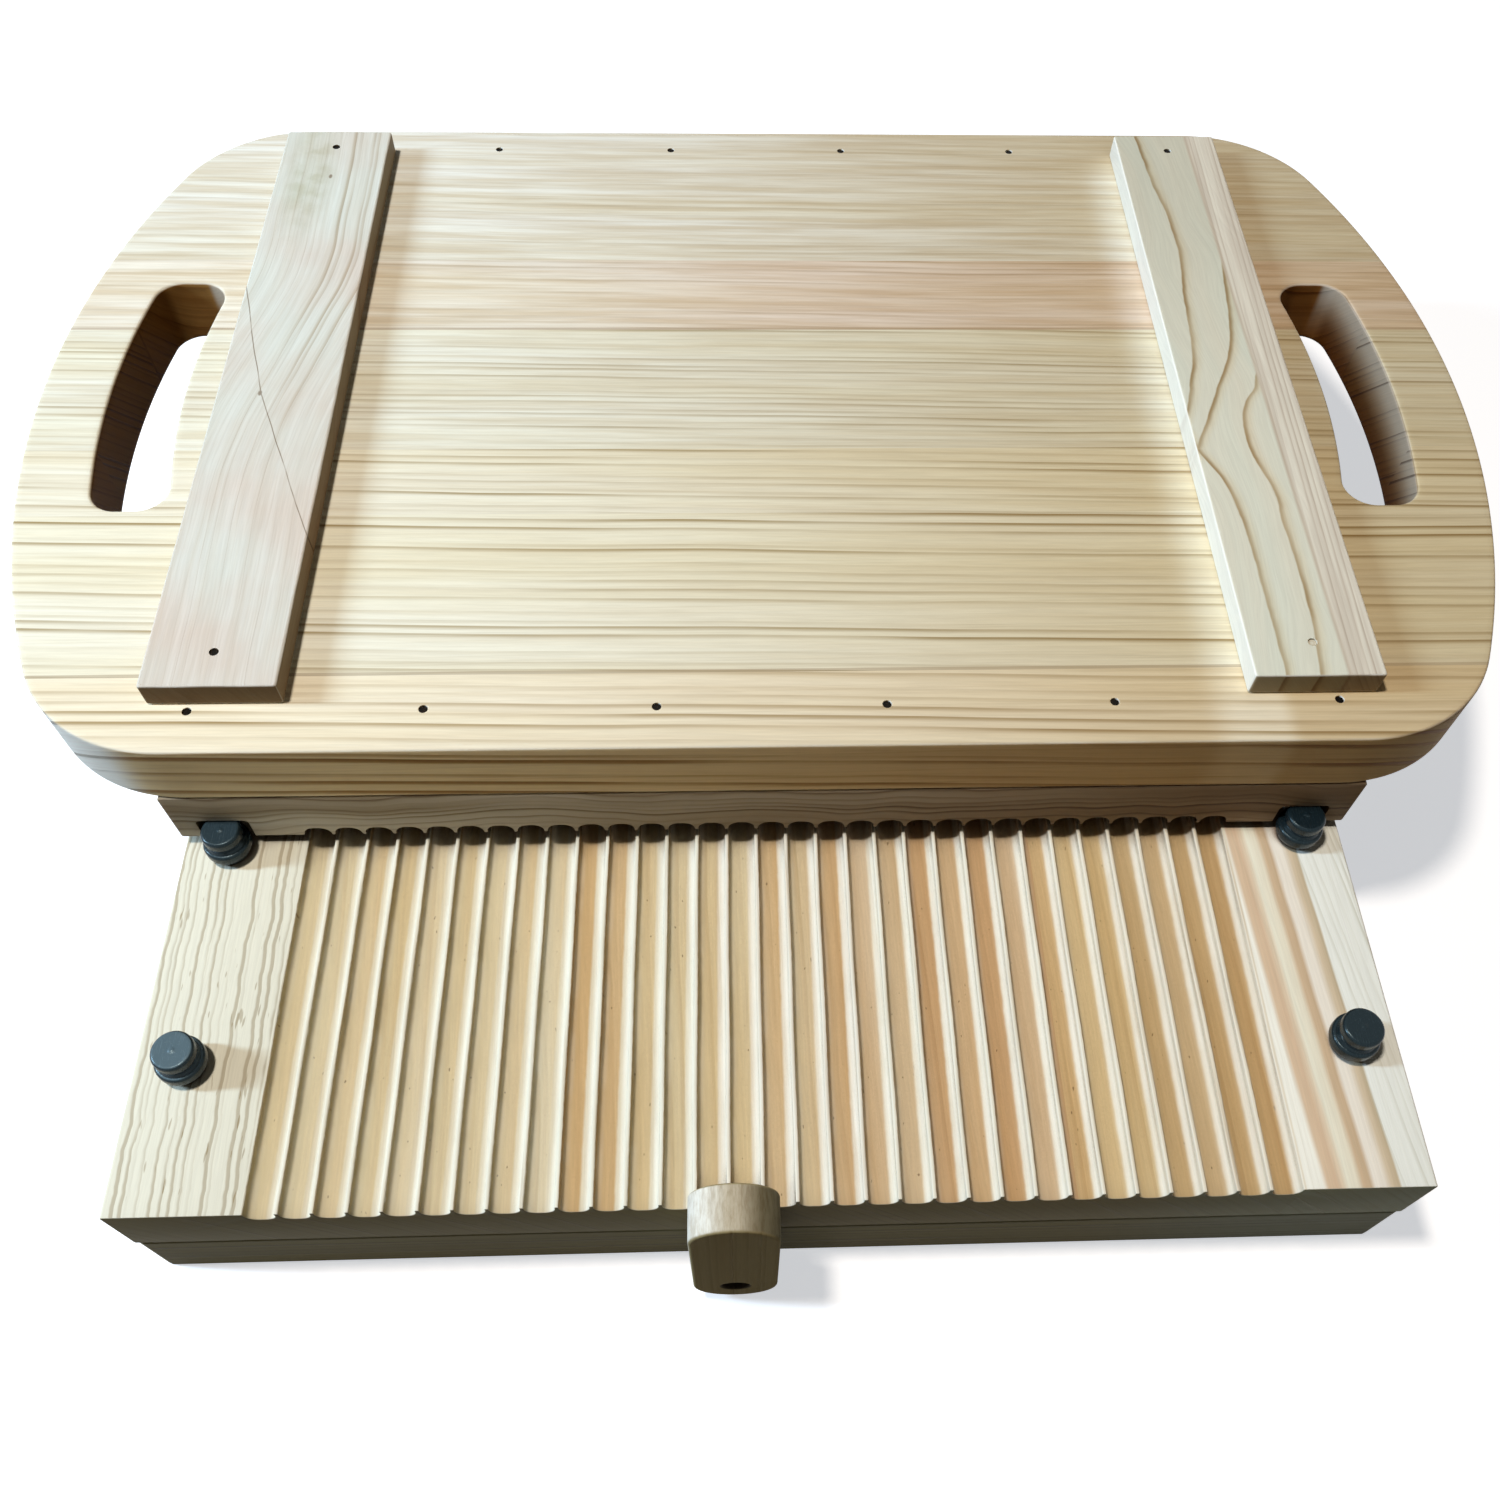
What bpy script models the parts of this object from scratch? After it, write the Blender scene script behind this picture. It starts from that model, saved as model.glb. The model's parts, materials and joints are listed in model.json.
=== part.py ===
"""Wooden press that rolls strips of dough into balls between two grooved boards.

The lower board lies on the table: a base board with a grooved plate glued on it, two rows of
round plastic glides, and a turning stop block screwed to the front edge. The upper board is a
wide handle board with two hand holes. It carries a second grooved plate underneath, cut with
two channels that run on the glides, and two battens on top.

X is to the right, Y to the back, Z up. The origin is the middle of the base board's underside.
"""
import math

import bmesh
import bpy
from mathutils import Matrix, Vector

MM = 0.001

# Gaps that pieces keep from each other
SEAT_GAP = 0.3 * MM
TURNING_GAP = 0.5 * MM
CUT_OVERRUN = 5 * MM

# Lower board
LOWER_DEPTH = 372 * MM
BASE_THICKNESS = 27 * MM
LOWER_PLATE_THICKNESS = 26.7 * MM
BASE_CORNER_RADIUS = 2 * MM
BASE_EDGE_RADIUS = 1 * MM

# Grooves, the same in both plates but for their depth
GROOVE_COUNT = 31
GROOVE_PITCH = 9.55 * MM
GROOVE_WIDTH = 8.3 * MM
LOWER_GROOVE_DEPTH = 5 * MM
UPPER_GROOVE_DEPTH = 4 * MM
GROOVE_CORNER_RADIUS = 3.2 * MM
CREST_RADIUS = 0.45 * MM
PLATE_MARGIN = 38.6 * MM
PLATE_EDGE_RADIUS = 0.8 * MM

# Glides
GLIDES_PER_SIDE = 5
GLIDE_SIDE_INSET = 15 * MM
GLIDE_END_INSET = 43 * MM
GLIDE_HEIGHT = 13 * MM
GLIDE_FOOT_DIAMETER = 11.4 * MM
GLIDE_RING_DIAMETER = 15 * MM
GLIDE_NECK_DIAMETER = 10 * MM
GLIDE_CAP_DIAMETER = 12.2 * MM
GLIDE_FLARE_HEIGHT = 3.4 * MM
GLIDE_RING_HEIGHT = 6.4 * MM
GLIDE_NECK_HEIGHT = 1.6 * MM
GLIDE_EDGE_RADIUS = 0.9 * MM
GLIDE_NUB_DIAMETER = 1.6 * MM
GLIDE_NUB_HEIGHT = 0.2 * MM
GLIDE_PIN_DIAMETER = 3.4 * MM
GLIDE_PIN_LENGTH = 14 * MM

# Upper board
WORKING_GAP = 4 * MM
FRONT_SETBACK = 117.2 * MM
HANDLE_REACH = 61.5 * MM
BOARD_DEPTH = 300 * MM
BOARD_THICKNESS = 25 * MM
UPPER_PLATE_THICKNESS = 22.7 * MM
BOARD_END_RADIUS = 303 * MM
BOARD_CORNER_RADIUS = 50 * MM
BOARD_EDGE_RADIUS = 1.6 * MM
CHANNEL_WIDTH = 16 * MM
CHANNEL_CORNER_RADIUS = 1.6 * MM

# Hand holes
HAND_HOLE_END_MARGIN = 23.5 * MM
HAND_HOLE_WIDTH = 25 * MM
HAND_HOLE_LENGTH = 112 * MM
HAND_HOLE_CORNER_RADIUS = 9.5 * MM
HAND_HOLE_EDGE_RADIUS = 2 * MM

# Battens
BATTEN_WIDTH = 40 * MM
BATTEN_THICKNESS = 8.7 * MM
BATTEN_SIDE_INSET = 2.5 * MM
BATTEN_FRONT_INSET = 17 * MM
BATTEN_REAR_INSET = 14.5 * MM
BATTEN_CORNER_RADIUS = 1 * MM
BATTEN_EDGE_RADIUS = 0.7 * MM

# Nails
NAIL_DIAMETER = 2 * MM
NAIL_HEAD_DIAMETER = 2.5 * MM
NAIL_HEAD_HEIGHT = 0.9 * MM
NAIL_HEAD_RECESS = 0.4 * MM
NAIL_BITE = 11 * MM
NAIL_TIP_LENGTH = 3 * MM
FRONT_NAIL_COUNT = 6
FRONT_NAIL_INSET = 14.6 * MM
REAR_NAIL_INSET = 12 * MM
BATTEN_NAIL_FRONT_INSET = 12.5 * MM
BATTEN_NAIL_REAR_INSET = 10 * MM

# Stop block and its screw
STOP_WIDTH = 25 * MM
STOP_THICKNESS = 13 * MM
STOP_RISE = 22 * MM
STOP_OFFSET = -13 * MM
STOP_TABLE_GAP = 1 * MM
STOP_EDGE_RADIUS = 1 * MM
SCREW_DIAMETER = 3.8 * MM
SCREW_HEAD_DIAMETER = 7.2 * MM
SCREW_HEAD_HEIGHT = 2.4 * MM
SCREW_SINK = 1.6 * MM
SCREW_BITE = 20 * MM
SCREW_TIP_LENGTH = 5 * MM

# How finely curves are divided
EDGE_STEPS = 2
GROOVE_CORNER_STEPS = 4
CREST_STEPS = 2
BOARD_ARC_STEPS = 16
BOARD_CORNER_STEPS = 9
HAND_HOLE_ARC_STEPS = 8
HAND_HOLE_CORNER_STEPS = 5
STOP_ARC_STEPS = 16
SMALL_HOLE_STEPS = 12
NAIL_STEPS = 10
GLIDE_STEPS = 16
SCREW_STEPS = 16
SHARP_ANGLE = math.radians(35)

# Sizes that follow from the ones above
GROOVED_WIDTH = (GROOVE_COUNT - 1) * GROOVE_PITCH + GROOVE_WIDTH
PLATE_WIDTH = GROOVED_WIDTH + 2 * PLATE_MARGIN
LOWER_PLATE_Z = BASE_THICKNESS + SEAT_GAP
LOWER_TOP_Z = LOWER_PLATE_Z + LOWER_PLATE_THICKNESS
BOARD_LENGTH = PLATE_WIDTH + 2 * HANDLE_REACH
UPPER_PLATE_Z = LOWER_TOP_Z + WORKING_GAP
HANDLE_BOARD_Z = UPPER_PLATE_Z + UPPER_PLATE_THICKNESS + SEAT_GAP
BOARD_TOP_Z = HANDLE_BOARD_Z + BOARD_THICKNESS
BATTEN_Z = BOARD_TOP_Z + SEAT_GAP
LOWER_FRONT_Y = -LOWER_DEPTH / 2
UPPER_FRONT_Y = LOWER_FRONT_Y + FRONT_SETBACK
UPPER_MIDDLE_Y = UPPER_FRONT_Y + BOARD_DEPTH / 2
UPPER_REAR_Y = UPPER_FRONT_Y + BOARD_DEPTH
GLIDE_X = PLATE_WIDTH / 2 - GLIDE_SIDE_INSET
GLIDE_PITCH = (LOWER_DEPTH - 2 * GLIDE_END_INSET) / (GLIDES_PER_SIDE - 1)
CHANNEL_DEPTH = GLIDE_HEIGHT + SEAT_GAP - WORKING_GAP
BATTEN_X = PLATE_WIDTH / 2 - BATTEN_SIDE_INSET - BATTEN_WIDTH / 2
BATTEN_LENGTH = BOARD_DEPTH - BATTEN_FRONT_INSET - BATTEN_REAR_INSET
STOP_PIVOT_Z = STOP_TABLE_GAP + STOP_WIDTH / 2
STOP_REACH = LOWER_TOP_Z + STOP_RISE - STOP_PIVOT_Z - STOP_WIDTH / 2
STOP_BACK_Y = LOWER_FRONT_Y - SEAT_GAP


def clear_scene():
    """Remove every object, so that the model starts from nothing."""
    for thing in list(bpy.data.objects):
        bpy.data.objects.remove(thing, do_unlink=True)


def make_material(name, colour, roughness, metallic=0.0):
    """A plain material with one colour."""
    material = bpy.data.materials.new(name)
    material.use_nodes = True
    shader = material.node_tree.nodes["Principled BSDF"]
    shader.inputs["Base Color"].default_value = (*colour, 1.0)
    shader.inputs["Roughness"].default_value = roughness
    shader.inputs["Metallic"].default_value = metallic
    material.diffuse_color = (*colour, 1.0)
    return material


def add_object(name, bm, material):
    """Put a finished bmesh into the scene, smooth but for its sharp edges."""
    bmesh.ops.recalc_face_normals(bm, faces=bm.faces)
    mesh = bpy.data.meshes.new(name)
    bm.to_mesh(mesh)
    bm.free()
    mesh.shade_smooth()
    mesh.set_sharp_from_angle(angle=SHARP_ANGLE)
    mesh.materials.append(material)
    thing = bpy.data.objects.new(name, mesh)
    bpy.context.scene.collection.objects.link(thing)
    return thing


def arc(centre, radius, start, end, steps):
    """Points on an arc, its ends included; angles in degrees, anticlockwise when end is larger."""
    points = []
    for step in range(steps + 1):
        angle = math.radians(start + (end - start) * step / steps)
        points.append((centre[0] + radius * math.cos(angle), centre[1] + radius * math.sin(angle)))
    return points


def circle(centre, radius, steps):
    """A closed ring of points, anticlockwise."""
    return arc(centre, radius, 0, 360, steps)[:-1]


def mirrored(points):
    """The same outline on the other side of the Y axis, still anticlockwise."""
    return [(-x, y) for x, y in reversed(points)]


def moved(points, across, along):
    """An outline shifted in its own plane."""
    return [(x + across, y + along) for x, y in points]


def rectangle(width, depth, radius, steps):
    """A rectangle with round corners about the origin, anticlockwise."""
    right = width / 2 - radius
    back = depth / 2 - radius
    points = []
    for x, y, start in ((right, back, 0), (-right, back, 90), (-right, -back, 180), (right, -back, 270)):
        points += arc((x, y), radius, start, start + 90, steps)
    return points


def offset(loop, distance):
    """Move each point of a closed outline to its left, which is inwards on an anticlockwise one."""
    shifted = []
    for index, (x, y) in enumerate(loop):
        before = Vector(loop[index - 1])
        after = Vector(loop[(index + 1) % len(loop)])
        along = (after - before).normalized()
        shifted.append((x - along.y * distance, y + along.x * distance))
    return shifted


def edge_rings(loop, thickness, radius):
    """Rings of an outline from the underside up, with both edges rounded: pairs of loop and height."""
    rings = []
    for step in range(EDGE_STEPS + 1):
        angle = math.pi / 2 * step / EDGE_STEPS
        inset = radius * (1 - math.sin(angle))
        rings.append((offset(loop, inset), radius * (1 - math.cos(angle))))
    for step in range(EDGE_STEPS + 1):
        angle = math.pi / 2 * step / EDGE_STEPS
        inset = radius * (1 - math.cos(angle))
        rings.append((offset(loop, inset), thickness - radius * (1 - math.sin(angle))))
    return rings


def straight_hole(centre, radius, thickness, steps=SMALL_HOLE_STEPS):
    """The two rings of a plain hole right through a board."""
    ring = circle(centre, radius, steps)
    return [(ring, 0), (ring, thickness)]


def add_board(name, outer, holes, material):
    """A board from stacks of rings: its outside, and one stack for each hole through it."""
    bm = bmesh.new()
    lids = {"low": [], "high": []}
    for stack in [outer] + holes:
        rows = []
        for loop, height in stack:
            rows.append([bm.verts.new((x, y, height)) for x, y in loop])
        count = len(rows[0])
        for low, high in zip(rows, rows[1:]):
            for index in range(count):
                following = (index + 1) % count
                bm.faces.new((low[index], low[following], high[following], high[index]))
        for side, row in (("low", rows[0]), ("high", rows[-1])):
            for index in range(count):
                lids[side].append(bm.edges.get((row[index], row[(index + 1) % count])))
    for side, direction in (("low", -1), ("high", 1)):
        bmesh.ops.triangle_fill(bm, edges=lids[side], use_beauty=True, normal=(0, 0, direction))
    return add_object(name, bm, material)


def add_extrusion(name, profile, depth, material):
    """A profile in X and Z, carried straight back along Y from the object's origin."""
    bm = bmesh.new()
    front = [bm.verts.new((x, 0, z)) for x, z in profile]
    back = [bm.verts.new((x, depth, z)) for x, z in profile]
    for index in range(len(profile)):
        following = (index + 1) % len(profile)
        bm.faces.new((front[index], front[following], back[following], back[index]))
    bm.faces.new(front)
    bm.faces.new(reversed(back))
    return add_object(name, bm, material)


def add_turned(name, profile, steps, material):
    """A turned piece about Z. Its profile gives radius and height, from the bottom up, axis to axis."""
    bm = bmesh.new()
    rows = []
    for radius, height in profile:
        if radius == 0:
            rows.append([bm.verts.new((0, 0, height))])
        else:
            rows.append([bm.verts.new((x, y, height)) for x, y in circle((0, 0), radius, steps)])
    for low, high in zip(rows, rows[1:]):
        for index in range(steps):
            following = (index + 1) % steps
            corners = [low[index % len(low)], low[following % len(low)]]
            corners += [high[following % len(high)], high[index % len(high)]]
            bm.faces.new(list(dict.fromkeys(corners)))
    return add_object(name, bm, material)


def cut(target, name, shafts):
    """Cut round blind holes. Each shaft is a start, a direction and a length, with its radius."""
    bm = bmesh.new()
    for start, direction, length, radius in shafts:
        turn = Vector((0, 0, 1)).rotation_difference(Vector(direction)).to_matrix().to_4x4()
        middle = Vector(start) + Vector(direction) * (length - CUT_OVERRUN) / 2
        place = Matrix.Translation(middle) @ turn
        bmesh.ops.create_cone(bm, cap_ends=True, segments=SMALL_HOLE_STEPS, radius1=radius, radius2=radius,
                              depth=length + CUT_OVERRUN, matrix=place)
    cutter = add_object(name, bm, target.data.materials[0])
    cutter.parent = target
    cutter.hide_render = True
    cutter.display_type = "WIRE"
    boolean = target.modifiers.new(name, "BOOLEAN")
    boolean.operation = "DIFFERENCE"
    boolean.solver = "EXACT"
    boolean.object = cutter


def groove_profile(middle, depth):
    """One groove in a surface at height 0: rounded crest, straight wall, round corner, flat bottom."""
    half = GROOVE_WIDTH / 2
    corner = min(GROOVE_CORNER_RADIUS, depth - CREST_RADIUS)
    left = arc((-half - CREST_RADIUS, -CREST_RADIUS), CREST_RADIUS, 90, 0, CREST_STEPS)
    left += arc((corner - half, corner - depth), corner, 180, 270, GROOVE_CORNER_STEPS)
    right = [(-x, z) for x, z in reversed(left)]
    return moved(left + right, middle, 0)


def grooved_surface(depth):
    """All grooves side by side, from left to right, in a surface at height 0."""
    points = []
    for index in range(GROOVE_COUNT):
        points += groove_profile((index - (GROOVE_COUNT - 1) / 2) * GROOVE_PITCH, depth)
    return points


def channel_profile(middle):
    """One guide channel in a surface at height 0, with rounded inner corners."""
    half = CHANNEL_WIDTH / 2
    corner = min(CHANNEL_CORNER_RADIUS, half, CHANNEL_DEPTH)
    left = [(-half, 0)] + arc((corner - half, corner - CHANNEL_DEPTH), corner, 180, 270, EDGE_STEPS)
    right = [(-x, z) for x, z in reversed(left)]
    return moved(left + right, middle, 0)


def plate_profile(cuts, thickness):
    """A plate's section: the cut surface along the top, and a plain underside below it."""
    half = PLATE_WIDTH / 2
    radius = PLATE_EDGE_RADIUS
    low = radius - thickness
    left = arc((radius - half, low), radius, 270, 180, EDGE_STEPS)
    left += arc((radius - half, -radius), radius, 180, 90, EDGE_STEPS)
    right = [(-x, z) for x, z in reversed(left)]
    return left + cuts + right


def add_lower_board(pine, pale_pine):
    """The base board and the grooved plate glued on it, drilled for the glides and the stop screw."""
    outline = rectangle(PLATE_WIDTH, LOWER_DEPTH, BASE_CORNER_RADIUS, EDGE_STEPS)
    base = add_board("base_board", edge_rings(outline, BASE_THICKNESS, BASE_EDGE_RADIUS), [], pine)
    start = (STOP_OFFSET, LOWER_FRONT_Y, STOP_PIVOT_Z)
    shaft = (start, (0, 1, 0), SCREW_BITE + SEAT_GAP, SCREW_DIAMETER / 2 + SEAT_GAP)
    cut(base, "stop_screw_hole", [shaft])

    profile = plate_profile(grooved_surface(LOWER_GROOVE_DEPTH), LOWER_PLATE_THICKNESS)
    plate = add_extrusion("lower_groove_plate", profile, LOWER_DEPTH, pale_pine)
    plate.location = (0, LOWER_FRONT_Y, LOWER_TOP_Z)
    shafts = []
    for x, y in glide_places():
        start = (x, y - LOWER_FRONT_Y, 0)
        shafts.append((start, (0, 0, -1), GLIDE_PIN_LENGTH + SEAT_GAP, GLIDE_PIN_DIAMETER / 2 + SEAT_GAP))
    cut(plate, "glide_pin_holes", shafts)


def glide_places():
    """Where the glides stand: a row along each side, front to back."""
    places = []
    for side in (-1, 1):
        for index in range(GLIDES_PER_SIDE):
            places.append((side * GLIDE_X, LOWER_FRONT_Y + GLIDE_END_INSET + index * GLIDE_PITCH))
    return places


def glide_profile():
    """A glide from the tip of its pin up: foot, flared ring, neck, and a cap with a small nub."""
    ring = GLIDE_RING_DIAMETER / 2
    neck = GLIDE_NECK_DIAMETER / 2
    cap = GLIDE_CAP_DIAMETER / 2
    pin = GLIDE_PIN_DIAMETER / 2
    nub = GLIDE_NUB_DIAMETER / 2
    edge = GLIDE_EDGE_RADIUS
    neck_top = GLIDE_RING_HEIGHT + GLIDE_NECK_HEIGHT
    cap_top = GLIDE_HEIGHT - GLIDE_NUB_HEIGHT
    profile = [(0, -GLIDE_PIN_LENGTH), (pin / 2, -GLIDE_PIN_LENGTH), (pin, pin - GLIDE_PIN_LENGTH)]
    profile += [(pin, SEAT_GAP), (GLIDE_FOOT_DIAMETER / 2, SEAT_GAP), (ring, GLIDE_FLARE_HEIGHT)]
    profile += [(ring, GLIDE_RING_HEIGHT - edge), (ring - edge, GLIDE_RING_HEIGHT)]
    profile += [(neck, GLIDE_RING_HEIGHT), (neck, neck_top), (cap, neck_top)]
    profile += arc((cap - edge, cap_top - edge), edge, 0, 90, EDGE_STEPS)
    profile += [(nub, cap_top), (nub / 2, GLIDE_HEIGHT), (0, GLIDE_HEIGHT)]
    return profile


def add_glides(plastic):
    """The round glides of both rows, each pinned into the lower plate."""
    for number, (x, y) in enumerate(glide_places()):
        side = "left" if x < 0 else "right"
        name = f"glide_{side}_{number % GLIDES_PER_SIDE + 1}"
        glide = add_turned(name, glide_profile(), GLIDE_STEPS, plastic)
        glide.location = (x, y, LOWER_TOP_Z)


def board_end():
    """The right half of the handle board's outline, from its front to its back, anticlockwise."""
    reach = BOARD_END_RADIUS - BOARD_CORNER_RADIUS
    rise = BOARD_DEPTH / 2 - BOARD_CORNER_RADIUS
    end_middle = BOARD_LENGTH / 2 - BOARD_END_RADIUS
    corner_x = end_middle + math.sqrt(reach ** 2 - rise ** 2)
    swing = math.degrees(math.asin(rise / reach))
    points = arc((corner_x, -rise), BOARD_CORNER_RADIUS, -90, -swing, BOARD_CORNER_STEPS)[:-1]
    points += arc((end_middle, 0), BOARD_END_RADIUS, -swing, swing, BOARD_ARC_STEPS)
    points += arc((corner_x, rise), BOARD_CORNER_RADIUS, swing, 90, BOARD_CORNER_STEPS)[1:]
    return points


def hand_hole():
    """The right hand hole, a slot bent round the same middle as the board's end, clockwise."""
    end_middle = BOARD_LENGTH / 2 - BOARD_END_RADIUS
    outer = BOARD_END_RADIUS - HAND_HOLE_END_MARGIN
    inner = outer - HAND_HOLE_WIDTH
    corner = min(HAND_HOLE_CORNER_RADIUS, HAND_HOLE_WIDTH / 2)
    reach = HAND_HOLE_LENGTH / 2 - corner
    points = []
    for radius, sign in ((outer, 1), (inner, -1)):
        track = radius - sign * corner
        swing = math.degrees(math.asin(reach / track))
        tip = (end_middle + math.sqrt(track ** 2 - reach ** 2), sign * reach)
        side = arc((end_middle, 0), radius, -sign * swing, sign * swing, HAND_HOLE_ARC_STEPS)
        if sign > 0:
            points += side + arc(tip, corner, swing, 90, HAND_HOLE_CORNER_STEPS)[1:]
        else:
            points += arc((tip[0], reach), corner, 90, 180 + swing, HAND_HOLE_CORNER_STEPS)[:-1]
            points += side + arc(tip, corner, 180 - swing, 270, HAND_HOLE_CORNER_STEPS)[1:]
    outer_track = outer - corner
    outer_swing = math.degrees(math.asin(reach / outer_track))
    last_tip = (end_middle + math.sqrt(outer_track ** 2 - reach ** 2), -reach)
    points += arc(last_tip, corner, 270, 360 - outer_swing, HAND_HOLE_CORNER_STEPS)[:-1]
    return list(reversed(points))


def board_nail_places():
    """Nails through the handle board into its plate: a full front row, and a rear row between the battens."""
    spread = PLATE_WIDTH / 2 - FRONT_NAIL_INSET
    pitch = 2 * spread / (FRONT_NAIL_COUNT - 1)
    places = []
    for index in range(FRONT_NAIL_COUNT):
        places.append((-spread + index * pitch, UPPER_FRONT_Y + FRONT_NAIL_INSET))
    for index in range(1, FRONT_NAIL_COUNT - 1):
        places.append((-spread + index * pitch, UPPER_REAR_Y - REAR_NAIL_INSET))
    return places


def batten_nail_places():
    """Nails through each batten into the handle board, one near each end."""
    places = []
    for side in (-1, 1):
        front = UPPER_FRONT_Y + BATTEN_FRONT_INSET + BATTEN_NAIL_FRONT_INSET
        rear = UPPER_REAR_Y - BATTEN_REAR_INSET - BATTEN_NAIL_REAR_INSET
        places += [(side * BATTEN_X, front), (side * BATTEN_X, rear)]
    return places


def add_upper_board(pine, dark_pine, grey_wood, cream_wood):
    """The handle board, the grooved plate under it and the two battens on top."""
    nail_hole = NAIL_HEAD_DIAMETER / 2 + SEAT_GAP
    half = board_end()
    outer = edge_rings(half + [(-x, -y) for x, y in half], BOARD_THICKNESS, BOARD_EDGE_RADIUS)
    right_hole = hand_hole()
    holes = []
    for loop in (right_hole, mirrored(right_hole)):
        holes.append(edge_rings(loop, BOARD_THICKNESS, HAND_HOLE_EDGE_RADIUS))
    for x, y in board_nail_places():
        holes.append(straight_hole((x, y - UPPER_MIDDLE_Y), nail_hole, BOARD_THICKNESS))
    board = add_board("handle_board", outer, holes, pine)
    board.location = (0, UPPER_MIDDLE_Y, HANDLE_BOARD_Z)
    shafts = []
    for x, y in batten_nail_places():
        start = (x, y - UPPER_MIDDLE_Y, BOARD_THICKNESS)
        shafts.append((start, (0, 0, -1), 2 * NAIL_BITE + SEAT_GAP, nail_hole))
    cut(board, "batten_nail_holes", shafts)

    cuts = channel_profile(-GLIDE_X) + grooved_surface(UPPER_GROOVE_DEPTH) + channel_profile(GLIDE_X)
    profile = [(x, -z) for x, z in plate_profile(cuts, UPPER_PLATE_THICKNESS)]
    plate = add_extrusion("upper_groove_plate", profile, BOARD_DEPTH, dark_pine)
    plate.location = (0, UPPER_FRONT_Y, UPPER_PLATE_Z)
    shafts = []
    for x, y in board_nail_places():
        start = (x, y - UPPER_FRONT_Y, UPPER_PLATE_THICKNESS)
        shafts.append((start, (0, 0, -1), NAIL_BITE + SEAT_GAP, nail_hole))
    cut(plate, "plate_nail_holes", shafts)

    outline = rectangle(BATTEN_WIDTH, BATTEN_LENGTH, BATTEN_CORNER_RADIUS, EDGE_STEPS)
    middle_y = UPPER_FRONT_Y + BATTEN_FRONT_INSET + BATTEN_LENGTH / 2
    for side, name, material in ((-1, "batten_left", grey_wood), (1, "batten_right", cream_wood)):
        rings = edge_rings(outline, BATTEN_THICKNESS, BATTEN_EDGE_RADIUS)
        holes = []
        for x, y in batten_nail_places():
            if x * side > 0:
                holes.append(straight_hole((0, y - middle_y), nail_hole, BATTEN_THICKNESS))
        batten = add_board(name, rings, holes, material)
        batten.location = (side * BATTEN_X, middle_y, BATTEN_Z)


def nail_profile(length):
    """A nail from its tip up to the top of its small head."""
    shank = NAIL_DIAMETER / 2
    head = NAIL_HEAD_DIAMETER / 2
    profile = [(0, -length), (shank / 2, NAIL_TIP_LENGTH / 2 - length), (shank, NAIL_TIP_LENGTH - length)]
    return profile + [(shank, -NAIL_HEAD_HEIGHT), (head, -NAIL_HEAD_HEIGHT / 2), (head, 0), (0, 0)]


def add_nails(steel):
    """All nails of the upper board, their heads a little below the wood."""
    sink = NAIL_HEAD_RECESS
    through_board = BOARD_THICKNESS + SEAT_GAP + NAIL_BITE - sink
    through_batten = BATTEN_THICKNESS + SEAT_GAP + 2 * NAIL_BITE - sink
    rows = [("board_nail", board_nail_places(), BOARD_TOP_Z, through_board)]
    rows.append(("batten_nail", batten_nail_places(), BATTEN_Z + BATTEN_THICKNESS, through_batten))
    for name, places, surface, length in rows:
        for number, (x, y) in enumerate(places):
            nail = add_turned(f"{name}_{number + 1}", nail_profile(length), NAIL_STEPS, steel)
            nail.location = (x, y, surface - sink)


def add_stop(wood, steel):
    """The stop block, which turns about its screw in the base board's front edge."""
    radius = STOP_WIDTH / 2
    outline = arc((0, STOP_REACH), radius, 0, 180, STOP_ARC_STEPS)
    outline += arc((0, 0), radius, 180, 360, STOP_ARC_STEPS)
    bore = circle((0, 0), SCREW_DIAMETER / 2 + TURNING_GAP, SCREW_STEPS)
    well = circle((0, 0), SCREW_HEAD_DIAMETER / 2 + TURNING_GAP, SCREW_STEPS)
    shoulder = STOP_THICKNESS - SCREW_SINK - SCREW_HEAD_HEIGHT - SEAT_GAP
    hole = [(bore, 0), (bore, shoulder), (well, shoulder), (well, STOP_THICKNESS)]
    block = add_board("stop_block", edge_rings(outline, STOP_THICKNESS, STOP_EDGE_RADIUS), [hole], wood)
    block.location = (STOP_OFFSET, STOP_BACK_Y, STOP_PIVOT_Z)
    block.rotation_euler = (math.pi / 2, 0, 0)

    shank = SCREW_DIAMETER / 2
    head = SCREW_HEAD_DIAMETER / 2
    head_base = shoulder + SEAT_GAP
    head_top = head_base + SCREW_HEAD_HEIGHT
    tip = -SEAT_GAP - SCREW_BITE
    profile = [(0, tip), (shank / 2, tip + SCREW_TIP_LENGTH / 2), (shank, tip + SCREW_TIP_LENGTH)]
    profile += [(shank, head_base), (head, head_base), (head, head_base + SCREW_HEAD_HEIGHT / 3)]
    profile += [(head * 2 / 3, head_base + SCREW_HEAD_HEIGHT * 5 / 6), (0, head_top)]
    screw = add_turned("stop_screw", profile, SCREW_STEPS, steel)
    screw.location = block.location
    screw.rotation_euler = block.rotation_euler


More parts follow.
